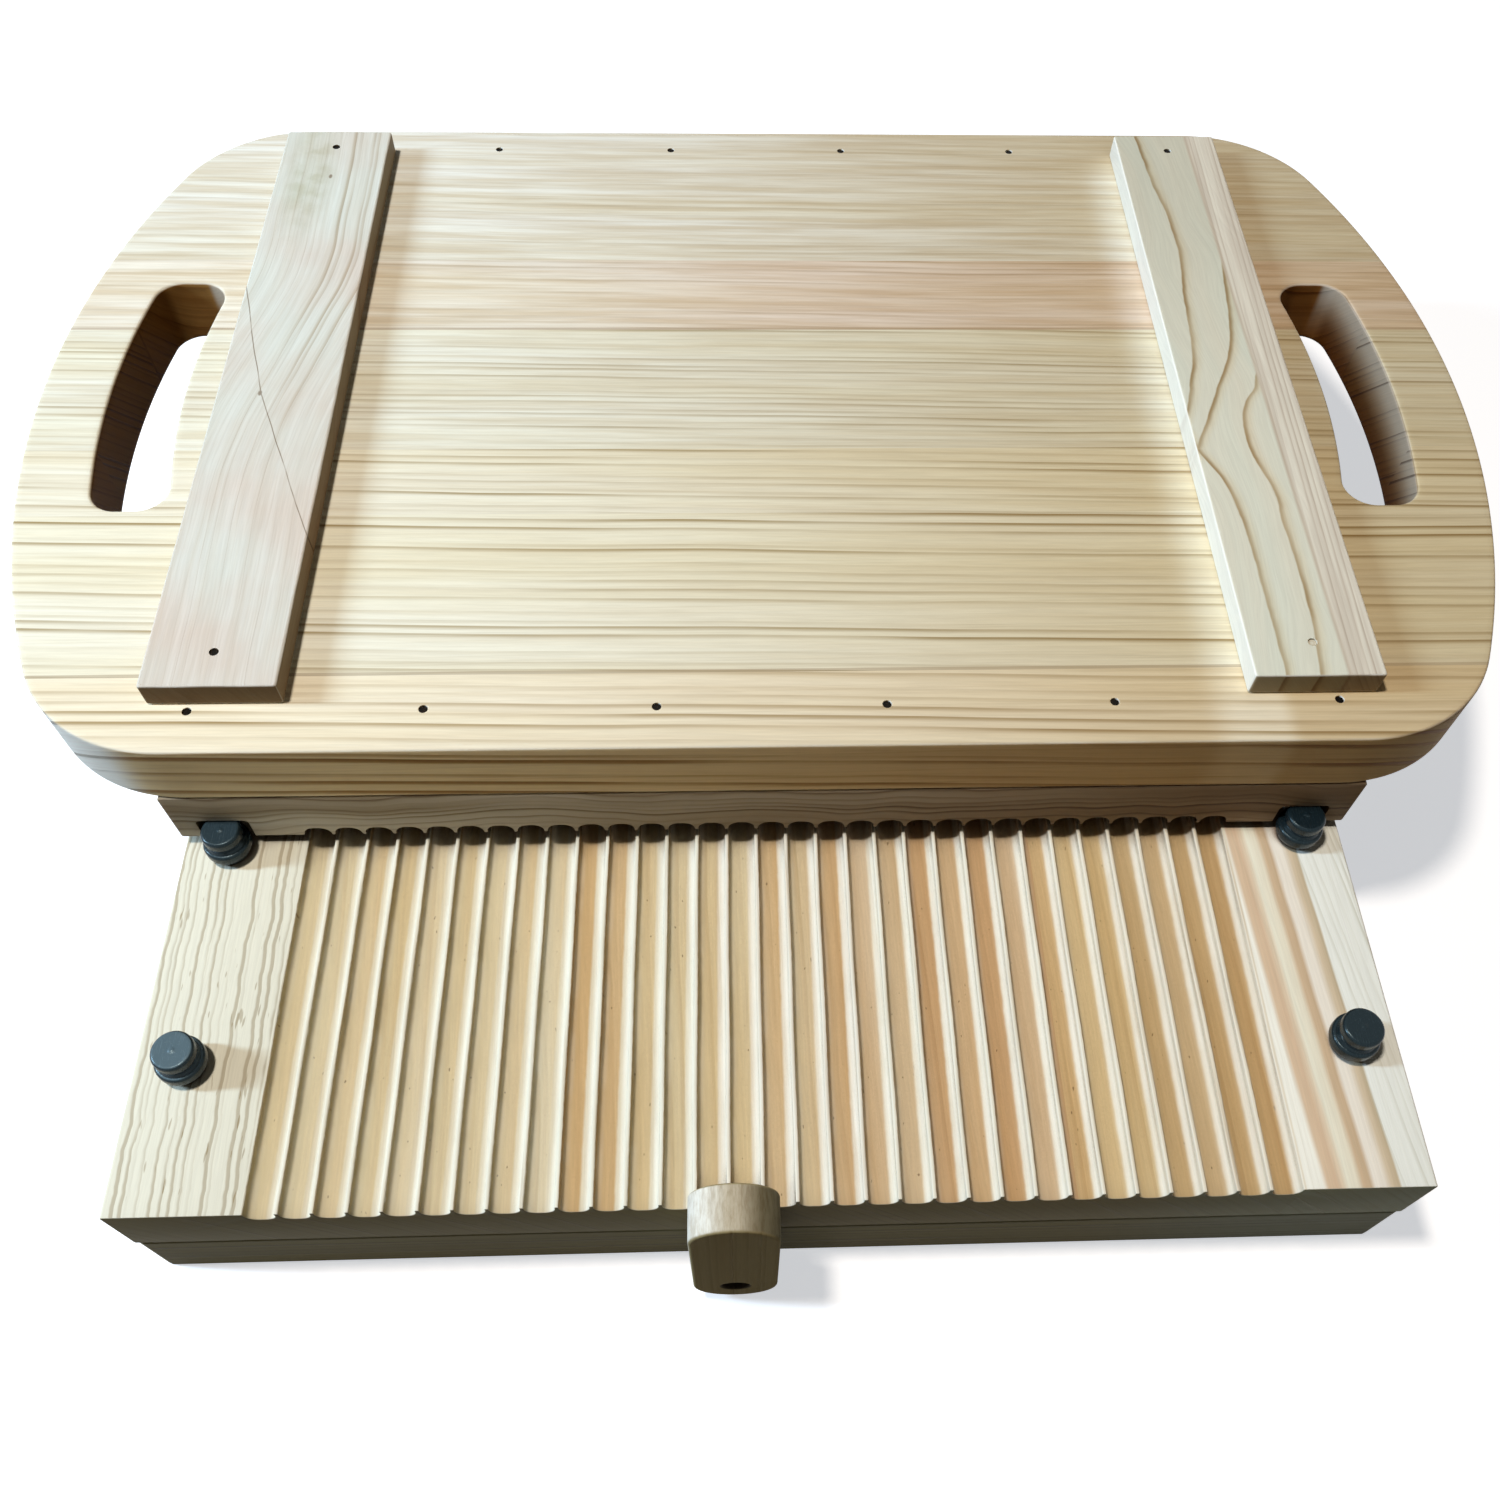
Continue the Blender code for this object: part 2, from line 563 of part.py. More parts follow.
def main():
    """Build the whole press."""
    clear_scene()
    pine = make_material("pine", (0.72, 0.55, 0.34), 0.55)
    pale_pine = make_material("pale_pine", (0.76, 0.62, 0.40), 0.6)
    dark_pine = make_material("dark_pine", (0.45, 0.32, 0.19), 0.6)
    grey_wood = make_material("grey_batten_wood", (0.52, 0.42, 0.33), 0.6)
    cream_wood = make_material("cream_batten_wood", (0.66, 0.58, 0.42), 0.6)
    stop_wood = make_material("stop_wood", (0.42, 0.34, 0.24), 0.6)
    plastic = make_material("black_plastic", (0.02, 0.022, 0.025), 0.35)
    steel = make_material("dark_steel", (0.18, 0.17, 0.16), 0.4, 1.0)
    add_lower_board(pine, pale_pine)
    add_glides(plastic)
    add_upper_board(pine, dark_pine, grey_wood, cream_wood)
    add_nails(steel)
    add_stop(stop_wood, steel)


main()
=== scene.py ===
# %% [markdown]
# # A wooden press that rolls strips of dough into balls
# Two grooved wooden boards work against each other. The lower one lies on the table, the upper one
# is held by two hand holes and slides to and fro on round plastic glides.
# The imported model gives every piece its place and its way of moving. This notebook dresses it:
# finer edges, real grooves, turned glides, and wood that has growth lines, joints and end grain.

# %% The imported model
import json
import math

import bmesh
import bpy
import numpy as np
from mathutils import Matrix, Vector

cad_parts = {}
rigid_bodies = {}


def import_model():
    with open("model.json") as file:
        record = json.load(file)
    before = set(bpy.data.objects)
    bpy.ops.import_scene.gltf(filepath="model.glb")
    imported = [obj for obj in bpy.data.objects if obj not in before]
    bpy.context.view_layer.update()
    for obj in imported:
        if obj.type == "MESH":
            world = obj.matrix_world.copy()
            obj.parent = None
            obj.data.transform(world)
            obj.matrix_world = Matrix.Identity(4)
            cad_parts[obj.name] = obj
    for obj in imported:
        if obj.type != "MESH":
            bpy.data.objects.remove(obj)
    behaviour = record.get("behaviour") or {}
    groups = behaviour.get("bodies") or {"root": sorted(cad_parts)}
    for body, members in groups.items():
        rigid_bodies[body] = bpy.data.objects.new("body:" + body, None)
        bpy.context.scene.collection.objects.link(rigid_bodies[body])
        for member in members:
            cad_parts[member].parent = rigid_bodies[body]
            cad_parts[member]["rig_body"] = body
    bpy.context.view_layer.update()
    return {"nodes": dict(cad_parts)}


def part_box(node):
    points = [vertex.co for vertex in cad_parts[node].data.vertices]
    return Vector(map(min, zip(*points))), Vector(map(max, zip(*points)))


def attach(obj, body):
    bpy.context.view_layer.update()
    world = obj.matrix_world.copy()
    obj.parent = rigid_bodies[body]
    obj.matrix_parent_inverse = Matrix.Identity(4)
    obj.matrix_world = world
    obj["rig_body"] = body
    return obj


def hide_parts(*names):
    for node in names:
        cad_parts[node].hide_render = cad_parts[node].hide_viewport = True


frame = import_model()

MM = 0.001

# %% [markdown]
# ## The camera
# The picture was taken from above the front edge, looking down at more than half a right angle.
# A camera could be set by eye, by its target, or by its angles. Here its place and its three
# angles were worked out beforehand from corners of the boards, so they are written as numbers.
# The lens follows from the picture's own scale: how many pixels wide one metre is, one metre away.

# %% Camera
IMAGE_WIDTH = 1500
PIXELS_PER_UNIT = 1382.5
PICTURE_MIDDLE = (789.2, 760.4)
SENSOR_WIDTH = 36
CAMERA_PLACE = (-0.010853, -0.289993, 0.442752)
CAMERA_DIP = math.radians(57.23)
CAMERA_YAW = math.radians(-4.038)
CAMERA_ROLL = math.radians(2.706)

camera_data = bpy.data.cameras.new("camera")
camera_data.sensor_width = SENSOR_WIDTH
camera_data.lens = PIXELS_PER_UNIT * SENSOR_WIDTH / IMAGE_WIDTH
camera_data.shift_x = (IMAGE_WIDTH / 2 - PICTURE_MIDDLE[0]) / IMAGE_WIDTH
camera_data.shift_y = (PICTURE_MIDDLE[1] - IMAGE_WIDTH / 2) / IMAGE_WIDTH
camera_data.clip_start = 0.01
camera = bpy.data.objects.new("camera", camera_data)
bpy.context.scene.collection.objects.link(camera)
turn = Matrix.Rotation(CAMERA_YAW, 4, "Z") @ Matrix.Rotation(math.pi / 2 - CAMERA_DIP, 4, "X")
turn = turn @ Matrix.Rotation(CAMERA_ROLL, 4, "Z")
camera.matrix_world = Matrix.Translation(CAMERA_PLACE) @ turn
bpy.context.scene.camera = camera
print("lens, mm:", round(camera_data.lens, 2))

# %% [markdown]
# ## Light
# The battens tell where the light comes from. Beside each lies a thin dark line and a wide tan
# shadow: one warm lamp stands nearly overhead, and a cool one, a window perhaps, low on the left.
# The window gives over a third of the light, and where it is missing the wood looks tan. Both
# lamps stand about over the upper board's front edge: so that edge throws hardly any shadow on
# the grooves, and still the fronts stay dark. A sun would light both ends alike, these do not.
# Each lamp's power is worked out from the brightness wanted on a level white surface: a lamp of
# power P at a distance r gives it P / (pi r^2) times the slope, and it sends on 1 / pi of that.

# %% Lamps
LAMPS = {
    "warm_lamp": dict(place=(-0.46, -0.1, 1.8), width=0.18, height=0.18, brightness=0.66,
                      colour=(1.0, 0.91, 0.8)),
    "window": dict(place=(-1.45, -0.05, 0.95), width=0.14, height=0.54, brightness=0.38,
                   colour=(0.58, 0.79, 1.0)),
}
LAMP_AIM = Vector((0.0, 0.05, 0.1))

for name, wanted in LAMPS.items():
    beam = LAMP_AIM - Vector(wanted["place"])
    slope = -beam.normalized().z
    lamp_data = bpy.data.lights.new(name, "AREA")
    lamp_data.shape = "ELLIPSE"
    lamp_data.size, lamp_data.size_y = wanted["width"], wanted["height"]
    lamp_data.color = wanted["colour"]
    lamp_data.energy = wanted["brightness"] * math.pi ** 2 * beam.length_squared / slope
    lamp = bpy.data.objects.new(name, lamp_data)
    lamp.location = wanted["place"]
    lamp.rotation_euler = beam.to_track_quat("-Z", "Y").to_euler()
    lamp.visible_camera = False
    bpy.context.scene.collection.objects.link(lamp)
    print(name, "W:", round(lamp_data.energy, 1))
bpy.context.scene.view_settings.view_transform = "Standard"

# %% [markdown]
# ## Formulas made of nodes
# A material is a net of small nodes, and written out in full each takes about four lines. Here
# an output is wrapped in a class that knows + - * / and abs, so that a mask reads as the formula
# it is. The functions below add the other kinds of node, each with all its inputs at once.

# %% Node helpers
WHITE, BLACK = (1, 1, 1, 1), (0, 0, 0, 1)
ACROSS_X, ACROSS_Y, ACROSS_Z = (1, 0, 0), (0, 1, 0), (0, 0, 1)


class Value:
    """A node's output that can be reckoned with like a number: each sign adds a Math node."""

    def __init__(self, socket):
        self.socket = socket

    def __add__(self, other):
        return maths("ADD", self, other)

    def __sub__(self, other):
        return maths("SUBTRACT", self, other)

    def __rsub__(self, other):
        return maths("SUBTRACT", other, self)

    def __mul__(self, other):
        return maths("MULTIPLY", self, other)

    def __truediv__(self, other):
        return maths("DIVIDE", self, other)

    def __abs__(self):
        return maths("ABSOLUTE", self)


def fill(node, given):
    """Set a node's inputs, by name or number: to a number, a colour, or another node's Value."""
    for label, what in given.items():
        if isinstance(what, Value):
            what.socket.id_data.links.new(what.socket, node.inputs[label])
        else:
            node.inputs[label].default_value = what


def add_node(kind, given, **settings):
    """A new node with its settings and inputs, in the tree that its first Value comes from."""
    tree = next(what.socket.id_data for what in given.values() if isinstance(what, Value))
    node = tree.nodes.new(kind)
    for setting, choice in settings.items():
        setattr(node, setting, choice)
    fill(node, given)
    return node


def maths(operation, *numbers, clamp=False):
    """A Math node of numbers and Values."""
    given = dict(enumerate(numbers))
    return Value(add_node("ShaderNodeMath", given, operation=operation,
                          use_clamp=clamp).outputs[0])


def ramp(value, start, end, low=0.0, high=1.0, shape="LINEAR"):
    """A steady change from low at start to high at end, level beyond both."""
    inputs = dict(enumerate((value, start, end, low, high)))
    return Value(add_node("ShaderNodeMapRange", inputs, interpolation_type=shape).outputs[0])


def ease(value, start, end, low=0.0, high=1.0):
    """The same change, beginning and ending softly."""
    return ramp(value, start, end, low, high, "SMOOTHSTEP")


def blend(share, low, high, mode="MIX"):
    """Two colours mixed by a share, or the first multiplied by the second as far as it says."""
    node = add_node("ShaderNodeMix", {0: share, 6: low, 7: high}, data_type="RGBA", blend_type=mode)
    return Value(node.outputs[2])


def join(x, y, z):
    """Three numbers as one vector."""
    return Value(add_node("ShaderNodeCombineXYZ", {0: x, 1: y, 2: z}).outputs[0])


def split(vector):
    """A vector's three numbers."""
    return [Value(socket) for socket in add_node("ShaderNodeSeparateXYZ", {0: vector}).outputs]


def measure(vector, direction):
    """How far a point lies along a direction: their dot product."""
    node = add_node("ShaderNodeVectorMath", {0: vector, 1: direction}, operation="DOT_PRODUCT")
    return Value(node.outputs["Value"])


def noise(vector, scale=1.0, detail=2.0, roughness=0.5):
    """Soft random values between 0 and 1, a half on average."""
    inputs = {"Vector": vector, "Scale": scale, "Detail": detail, "Roughness": roughness}
    return Value(add_node("ShaderNodeTexNoise", inputs).outputs[0])


def stripes(share, rows, length=1.0, borders="CONSTANT"):
    """A colour and an alpha for each stretch of a length; a row is its start and its colour."""
    node = add_node("ShaderNodeValToRGB", {0: share})
    node.color_ramp.interpolation = borders
    steps = node.color_ramp.elements
    while len(steps) < len(rows):
        steps.new(1.0)
    for index, (start, colour) in enumerate(rows):
        steps[index].position = start / length
        steps[index].color = colour
    return Value(node.outputs["Color"]), Value(node.outputs["Alpha"])


def off_centre(across, along, centre, reach):
    """How far out a point lies in an ellipse: 0 in its centre, 1 on its edge, more outside."""
    first, second = [(value - middle) / half
                     for value, middle, half in zip((across, along), centre, reach)]
    return maths("SQRT", first * first + second * second)


def tint(red, green, blue, alpha=1.0):
    """A colour as it looks on a screen, 0 to 255, turned into the plain light a shader needs."""
    shares = [number / 255 for number in (red, green, blue)]
    light = [s / 12.92 if s <= 0.04045 else ((s + 0.055) / 1.055) ** 2.4 for s in shares]
    return (*light, alpha)


def stain(colour, share, *dye):
    """A colour multiplied by a tint, as strongly as the share says."""
    return blend(share, colour, tint(*dye), "MULTIPLY")


def looked_at(tree):
    """1 where the camera looks, straight, in a mirror or through glass; 0 for any other light."""
    paths = tree.nodes.new("ShaderNodeLightPath").outputs
    straight, mirrored = Value(paths["Is Camera Ray"]), Value(paths["Is Glossy Ray"])
    through = Value(paths["Is Transmission Ray"])
    return maths("MAXIMUM", maths("MAXIMUM", straight, mirrored), through)


print("mid grey as light:", round(tint(128, 128, 128)[0], 3))

# %% [markdown]
# ## The surroundings
# Weak, warm light comes from all around. It is only light: where the camera looks past the
# floor, straight or in a mirror or through glass, the surroundings are plain white.

# %% World
SKY_COLOUR = (1.0, 0.88, 0.72)
SKY_STRENGTH = 0.043

world = bpy.data.worlds.new("studio")
bpy.context.scene.world = world
world.use_nodes = True
seen = looked_at(world.node_tree)
fill(world.node_tree.nodes["Background"],
     {"Color": blend(seen, (*SKY_COLOUR, 1), WHITE), "Strength": ease(seen, 0, 1, SKY_STRENGTH, 1)})
print("world strength for soft light:", SKY_STRENGTH)

# %% [markdown]
# ## The floor
# The press stands on a plain white sheet. A white floor would throw much light on the front faces,
# which are dark on the real thing, so the floor is white only where it is looked at. To the
# object it is a darker, warm sheet. Its own shadow stays, because half of its white is real light.

# %% Floor
FLOOR_SIZE = 6.0
FLOOR_GLOW = (0.57, 0.585, 0.61, 1)
FLOOR_WHITE = (0.82, 0.83, 0.86, 1)
FLOOR_BOUNCE = (0.13, 0.1, 0.06, 1)

floor_mesh = bpy.data.meshes.new("floor")
corners = np.array([(-1, -1, 0), (1, -1, 0), (1, 1, 0), (-1, 1, 0)]) * FLOOR_SIZE / 2
floor_mesh.from_pydata(corners.tolist(), [], [(0, 1, 2, 3)])
floor = bpy.data.objects.new("floor", floor_mesh)
bpy.context.scene.collection.objects.link(floor)
sheet = bpy.data.materials.new("white_sheet")
sheet.use_nodes = True
seen = looked_at(sheet.node_tree)
fill(sheet.node_tree.nodes["Principled BSDF"], {
    "Roughness": 1.0, "Specular IOR Level": 0.0, "Emission Strength": 1.0,
    "Base Color": blend(seen, FLOOR_BOUNCE, FLOOR_WHITE),
    "Emission Color": blend(seen, BLACK, FLOOR_GLOW)})
floor_mesh.materials.append(sheet)
print("floor, m:", FLOOR_SIZE)

# %% [markdown]
# ## Growth lines
# Softwood is pale where it grew in spring and dark where it grew in summer. A saw cut shows each
# year as a line: it begins softly and stops sharply, and no two are as strong or as far apart.
# A wave texture makes all lines alike. A Voronoi texture in one dimension scatters points along a
# line and names the nearest, so each year gets its own place and its own random number.
# Every board uses this, so it is a node group, with the grain's own directions as its inputs.

# %% Node group: growth lines
def start_group(name, inputs, outputs, vectors=()):
    """An empty node group: its tree, its inputs as Values, and the node that takes its outputs."""
    tree = bpy.data.node_groups.new(name, "ShaderNodeTree")
    for label in vectors:
        tree.interface.new_socket(label, in_out="INPUT", socket_type="NodeSocketVector")
    for label, usual in inputs.items():
        socket = tree.interface.new_socket(label, in_out="INPUT", socket_type="NodeSocketFloat")
        socket.default_value = usual
    for label in outputs:
        tree.interface.new_socket(label, in_out="OUTPUT", socket_type="NodeSocketFloat")
    given = {socket.name: Value(socket) for socket in tree.nodes.new("NodeGroupInput").outputs}
    return tree, given, tree.nodes.new("NodeGroupOutput")


def place_group(group, given):
    """A node group in a material, with its inputs given by name; returns its outputs by name."""
    node = add_node("ShaderNodeGroup", given, node_tree=group)
    return {socket.name: Value(socket) for socket in node.outputs}


growth, given, out = start_group(
    "growth_lines", {"Along": 0.0, "Across": 0.0, "Spacing": 3.5 * MM, "Sway": 2 * MM,
                     "Sway Length": 120 * MM, "Seed": 0.0}, ("Line", "Tone", "Streak", "Fibre"))
along, across, seed = given["Along"], given["Across"], given["Seed"]
bend = noise(join(along / given["Sway Length"], across * 14.0, seed)) - 0.5
bent = across + bend * 2.0 * given["Sway"]
year = bent / given["Spacing"] + seed * 37.0
nearest = add_node("ShaderNodeTexVoronoi", {"W": year, "Scale": 1.0, "Randomness": 0.9},
                   voronoi_dimensions="1D").outputs
summer = Value(nearest["W"])
past = year - summer
soft_side = maths("POWER", ease(past, -0.5, 0.03), 1.25)
sharp_side = ease(past, 0.03, 0.13, 1.0, 0.0)
strength = ease(split(Value(nearest["Color"]))[0], 0.0, 1.0, 0.25, 1.0)
fade = ease(noise(join(along * 9.0, summer * 0.9, seed), 1.0, 1.0), 0.32, 0.62, 0.25, 1.0)
fill(out, {
    "Line": soft_side * sharp_side * strength * fade,
    "Tone": ease(noise(join(along * 3.0, bent * 55.0, seed)), 0.3, 0.7),
    "Streak": ease(noise(join(along * 11.0, bent * 250.0, seed), 1.0, 3.0, 0.6), 0.3, 0.7),
    "Fibre": noise(join(along * 60.0, bent * 1500.0, seed), 1.0, 3.0, 0.6)})
print("growth_lines:", len(growth.nodes), "nodes")

# %% [markdown]
# ## Rubbed edges
# Hands and sandpaper take the sharp edge off a board and leave it a little paler. The mask needs
# no painting: a flat face looks straight along one direction and a side looks across it, so only
# the rounded edge between them looks half one way and half the other.

# %% Node group: rubbed edges
rubbed, given, out = start_group("rubbed_edges", {"Facing": 0.0}, ("Mask",), vectors=("Point",))
straight = abs(given["Facing"])
patches = ease(noise(given["Point"], 60.0, 3.0), 0.35, 0.6, 0.3, 1.0)
fill(out, {"Mask": ease(straight, 0.12, 0.45) * ease(straight, 0.97, 0.75) * patches})
print("rubbed_edges:", len(rubbed.nodes), "nodes")

# %% [markdown]
# ## What every wood needs
# A board's material starts with its shader, the point that is being shaded and the direction it
# looks in. `wood_lines` lays growth lines through it in any direction, and `finish_wood` mixes
# the fibre in, tints the end grain, pales the edges and lets the lines stand out as relief.

# %% Wood helpers
DULL = 0.06


def start_material(name):
    """A new material, with its shader, and with place and normal as Values."""
    material = bpy.data.materials.new(name)
    material.use_nodes = True
    nodes = material.node_tree.nodes
    coordinates = nodes.new("ShaderNodeTexCoord").outputs
    place, normal = Value(coordinates["Object"]), Value(coordinates["Normal"])
    return material, nodes["Principled BSDF"], place, normal


def wood_lines(place, along, across, spacing, sway, sway_length, seed):
    """Growth lines whose grain runs along one direction and whose years follow another."""
    return place_group(growth, {
        "Along": measure(place, along), "Across": measure(place, across), "Spacing": spacing,
        "Sway": sway, "Sway Length": sway_length, "Seed": seed})


def raise_relief(shader, height, depth, strength):
    """Let a height stand out of the surface."""
    bump = add_node("ShaderNodeBump", {"Height": height, "Distance": depth, "Strength": strength})
    fill(shader, {"Normal": Value(bump.outputs["Normal"])})


def finish_wood(shader, place, normal, grain, colour, along, end, roughness, facing=ACROSS_Z,
                edge=(1, 0.98, 0.92, 1), edge_share=0.5, relief=0.6):
    """Fibre, end grain, rubbed edges, roughness and relief, and all of it into the shader."""
    fibre = ease(grain["Fibre"], 0.3, 0.7, 0.95, 1.03)
    colour = blend(1.0, colour, join(fibre, fibre, fibre), "MULTIPLY")
    colour = blend(ease(abs(measure(normal, along)), 0.55, 0.85), colour, end, "MULTIPLY")
    rub = place_group(rubbed, {"Point": place, "Facing": measure(normal, facing)})["Mask"]
    fill(shader, {"Base Color": blend(rub * edge_share, colour, edge), "Specular IOR Level": DULL,
                  "Roughness": ease(grain["Line"], 0.0, 1.0, roughness, roughness - 0.04)})
    raise_relief(shader, grain["Line"] + grain["Fibre"] * 0.5, 0.1 * MM, relief)


print("wood helpers ready")

# %% [markdown]
# ## Handle board: glued pine
# The wide board is glued up from pine staves that run from hand to hand. Each stave was cut from
# another tree, so its tint, the spacing of its lines and their strength change at each glue line.
# Six separate boards would show gaps. Two colour ramps with hard borders do it in the material:
# one holds the tints, the other the habits of the lines, and its alpha shifts the pattern. A
# third one draws the glue between the staves.
# The sawn walls are browner than the top. Those that look left are painted paler, as light from
# the window; in the hand holes this painted light grows towards the top, and the holes' walls are
# painted browner as shade. Left of the right batten lies a painted glow, as light thrown off the
# batten's white side, and the top is painted darker and warmer towards the right, as the lamps'
# light falls off.

# %% Handle board's material
BOARD_LOW, BOARD_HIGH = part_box("handle_board")
board_size, board_middle = BOARD_HIGH - BOARD_LOW, (BOARD_HIGH + BOARD_LOW) / 2
# Each stave's start from the front in mm, its tint, how pink it turns towards the right, its
# lines' habits (spacing, strength and streaks, as shares) and its pattern's seed
STAVES = [(0, (255, 247, 226), 0, (0.95, 1.0, 0.35), 0.22),
          (26.9, (252, 250, 233), 0, (0.9, 1.0, 0.35), 0.41),
          (90.5, (252, 250, 234), 0, (0.8, 1.0, 0.5), 0.67),
          (120.4, (249, 250, 238), 0, (0.7, 0.7, 0.7), 0.29),
          (180.3, (251, 248, 238), 1, (0.75, 0.4, 1.0), 0.83),
          (218.3, (250, 252, 246), 0, (0.85, 0.26, 1.0), 0.55)]
WIDEST_SPACING = 4.4 * MM
# A glue line's width, in mm like the starts
GLUE_LINE = 0.35
# Where the top turns pink, and where a painted shade darkens it towards the right, as the lamps'
# light falls off
PINK_X, FALLOFF_SHADE_X = (-110 * MM, 30 * MM), (-160 * MM, 190 * MM)
# A painted glow lies left of the right batten, as light thrown off its white side, and ends before
# the rear edge
GLOW_FROM_X, GLOW_TO_X = (124 * MM, 143 * MM), (150 * MM, 160 * MM)
GLOW_END_Y = (222.2 * MM, 195.2 * MM)
# Where the hand holes' walls are: middle and reach
HOLE_WALL_X, HOLE_WALL_Y = (210 * MM, 22 * MM), (board_middle.y, 62 * MM)

handle_pine, shader, place, normal = start_material("handle_pine")
x, y, z = split(place)
from_front, depth = ramp(y, BOARD_LOW.y, BOARD_HIGH.y), board_size.y / MM
stave_tint, pinkness = stripes(from_front, [(start, tint(*stave, pink))
                                            for start, stave, pink, _, _ in STAVES], depth)
stave_tint = stain(stave_tint, pinkness * ease(x, *PINK_X), 255, 248, 250)
habits, stave_seed = stripes(from_front, [(start, (*habit, seed))
                                          for start, _, _, habit, seed in STAVES], depth)
spacing_share, strength_share, streak_share = split(habits)
grain = wood_lines(place, along=ACROSS_X, across=(0.02, 1, 0.75), sway=2.2 * MM,
                   spacing=spacing_share * WIDEST_SPACING, sway_length=160 * MM,
                   seed=stave_seed * 11.0)
fine = wood_lines(place, along=ACROSS_X, across=(-0.01, 1, 0.6), spacing=1.5 * MM,
                  sway=1.2 * MM, sway_length=90 * MM, seed=4.0)
lines = maths("ADD", grain["Line"] * strength_share, fine["Line"] * 0.12, clamp=True)
colour = stain(stave_tint, grain["Tone"] * 0.6, 250, 245, 230)
colour = stain(colour, grain["Streak"] * streak_share, 232, 222, 208)
colour = stain(colour, lines, 178, 160, 128)
# Painted light: the glow beside the right batten
pale = ease(x, *GLOW_FROM_X) * ease(x, *GLOW_TO_X, 1.0, 0.0) * ease(y, *GLOW_END_Y)
# Painted shade: darker and warmer towards the right, less so in the painted glow
colour = stain(colour, ease(x, *FALLOFF_SHADE_X) * ease(pale, 0.0, 1.0, 1.0, 0.4), 220, 206, 184)
sawn = ease(abs(measure(normal, ACROSS_Z)), 0.6, 0.2)
colour = stain(colour, sawn, 239, 226, 204)
colour = stain(colour, sawn * ease(lines, 0.0, 0.5), 206, 184, 156)
glue_rows = [(0, BLACK)]
for start, *_ in STAVES[1:]:
    glue_rows += [(start - GLUE_LINE / 2, WHITE), (start + GLUE_LINE / 2, BLACK)]
glue, _ = stripes(from_front, glue_rows, depth)
colour = blend(split(glue)[0] * 0.45, colour, tint(150, 122, 88))
in_hole = maths("COMPARE", abs(x), *HOLE_WALL_X) * maths("COMPARE", y, *HOLE_WALL_Y) * sawn
# Painted light on the walls that look left, as from the window; in the hand holes it grows towards
# the top
lit_from_top = ease(z, BOARD_LOW.z, BOARD_HIGH.z, 0.0, 0.78)
painted_window_light = sawn * ease(measure(normal, ACROSS_X), -0.15, -0.4)
painted_window_light = painted_window_light * ease(in_hole, 0.0, 1.0, 1.0, lit_from_top)
# Painted shade: the hand holes' walls are painted browner
colour = stain(colour, in_hole, 198, 162, 114)
lit_tint = blend(in_hole, tint(255, 252, 244), tint(206, 196, 180))
colour = blend(painted_window_light, colour, stain(lit_tint, ease(lines, 0.15, 0.7), 176, 172, 168))
finish_wood(shader, place, normal, grain, colour, along=ACROSS_X, roughness=0.58,
            end=blend(painted_window_light, tint(186, 168, 142), WHITE), edge_share=0.25)
print("staves:", len(STAVES))

# %% [markdown]
# ## Lower plate: pine with its grain along the grooves
# The crests and the walls that look left are a pale cream, the floors a warm tan with a hard
# border, and every groove has its own tan. The tan is partly the wood's own and partly painted
# shade, and a painted shade lies in each groove's left corner. The borders run with the cut, not
# with the wood, so X is wrapped to one groove's width, and its whole part picks the tan at random.
# On the right margin soft brown bands run a little aslant. The left margin has close wavy lines
# with brown flecks. Under the upper board the grooves are nearly shut in: an Ambient Occlusion
# node finds where, wherever that board stands, and a painted shade darkens the wood there.

# %% Lower plate's material
PLATE_LOW, PLATE_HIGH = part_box("lower_groove_plate")
PITCH = 9.55 * MM
# The plate's staves: where each starts from the left, in mm, and its tint
PLATE_STAVES = [(0, tint(236, 233, 215)), (38, tint(237, 232, 213)), (96, tint(238, 234, 216)),
                (163, tint(238, 231, 214)), (214, tint(238, 232, 213)), (262, tint(243, 238, 220)),
                (333.4, tint(252, 250, 236)), (362, tint(253, 254, 242))]
# The floors' tans, partly the wood's own and partly painted shade, with the random number from
# which each is picked
FLOOR_TINTS = [(0, tint(234, 226, 198)), (0.28, tint(234, 224, 194)), (0.48, tint(228, 208, 172)),
               (0.6, tint(239, 233, 210)), (0.86, tint(233, 220, 188))]
# In a groove, from its middle: where the floor's tan begins, where it ends (further right on the
# right of the plate), how softly, how raggedly, and where a painted shade lies in its left corner
FLOOR_LEFT, FLOOR_RIGHT = (-4.4 * MM, -4.2 * MM), (0.9 * MM, 2.9 * MM)
FLOOR_FADE, FLOOR_RAGGED = (0.35 * MM, -0.5 * MM), 0.5 * MM
CORNER_SHADE = (-2.9 * MM, -4.5 * MM)
# The right half's floors are rosy, then pale, then tan, each from so many mm from the left
STRETCHES = [(0, tint(243, 230, 222)), (269.7, tint(253, 250, 240)),
             (295.74, tint(240, 229, 212))]
STRETCHES_X = (-5 * MM, 25 * MM)
MARGIN_X = (148 * MM, 148.6 * MM)
BROWNER_X, BROWNER_FRONT_X = (50 * MM, 130 * MM), (160 * MM, 90 * MM)
# The right margin's bands: how many mm to the right of BANDS_X each tint is reached, measured
# at the upper board's front edge
BANDS_X, BANDS_WIDTH = 147.2 * MM, 22.7
BANDS = [(0, tint(254, 250, 236)), (1.6, tint(226, 198, 166)), (4.2, tint(222, 192, 160)),
         (6.0, tint(234, 214, 186)), (7.4, tint(246, 240, 218)), (10.2, tint(244, 234, 210)),
         (11.8, tint(218, 190, 156)), (13.8, tint(212, 184, 150)), (15.2, tint(252, 243, 228)),
         (17.8, tint(250, 240, 224)), (19.8, tint(226, 206, 176)), (22.0, tint(208, 188, 156)),
         (BANDS_WIDTH, tint(254, 255, 246))]
BAND_SLANT, BAND_WANDER = 0.05, 1.2 * MM
SHUT_IN, SHUT_IN_REACH = (0.5, 0.27), 14 * MM

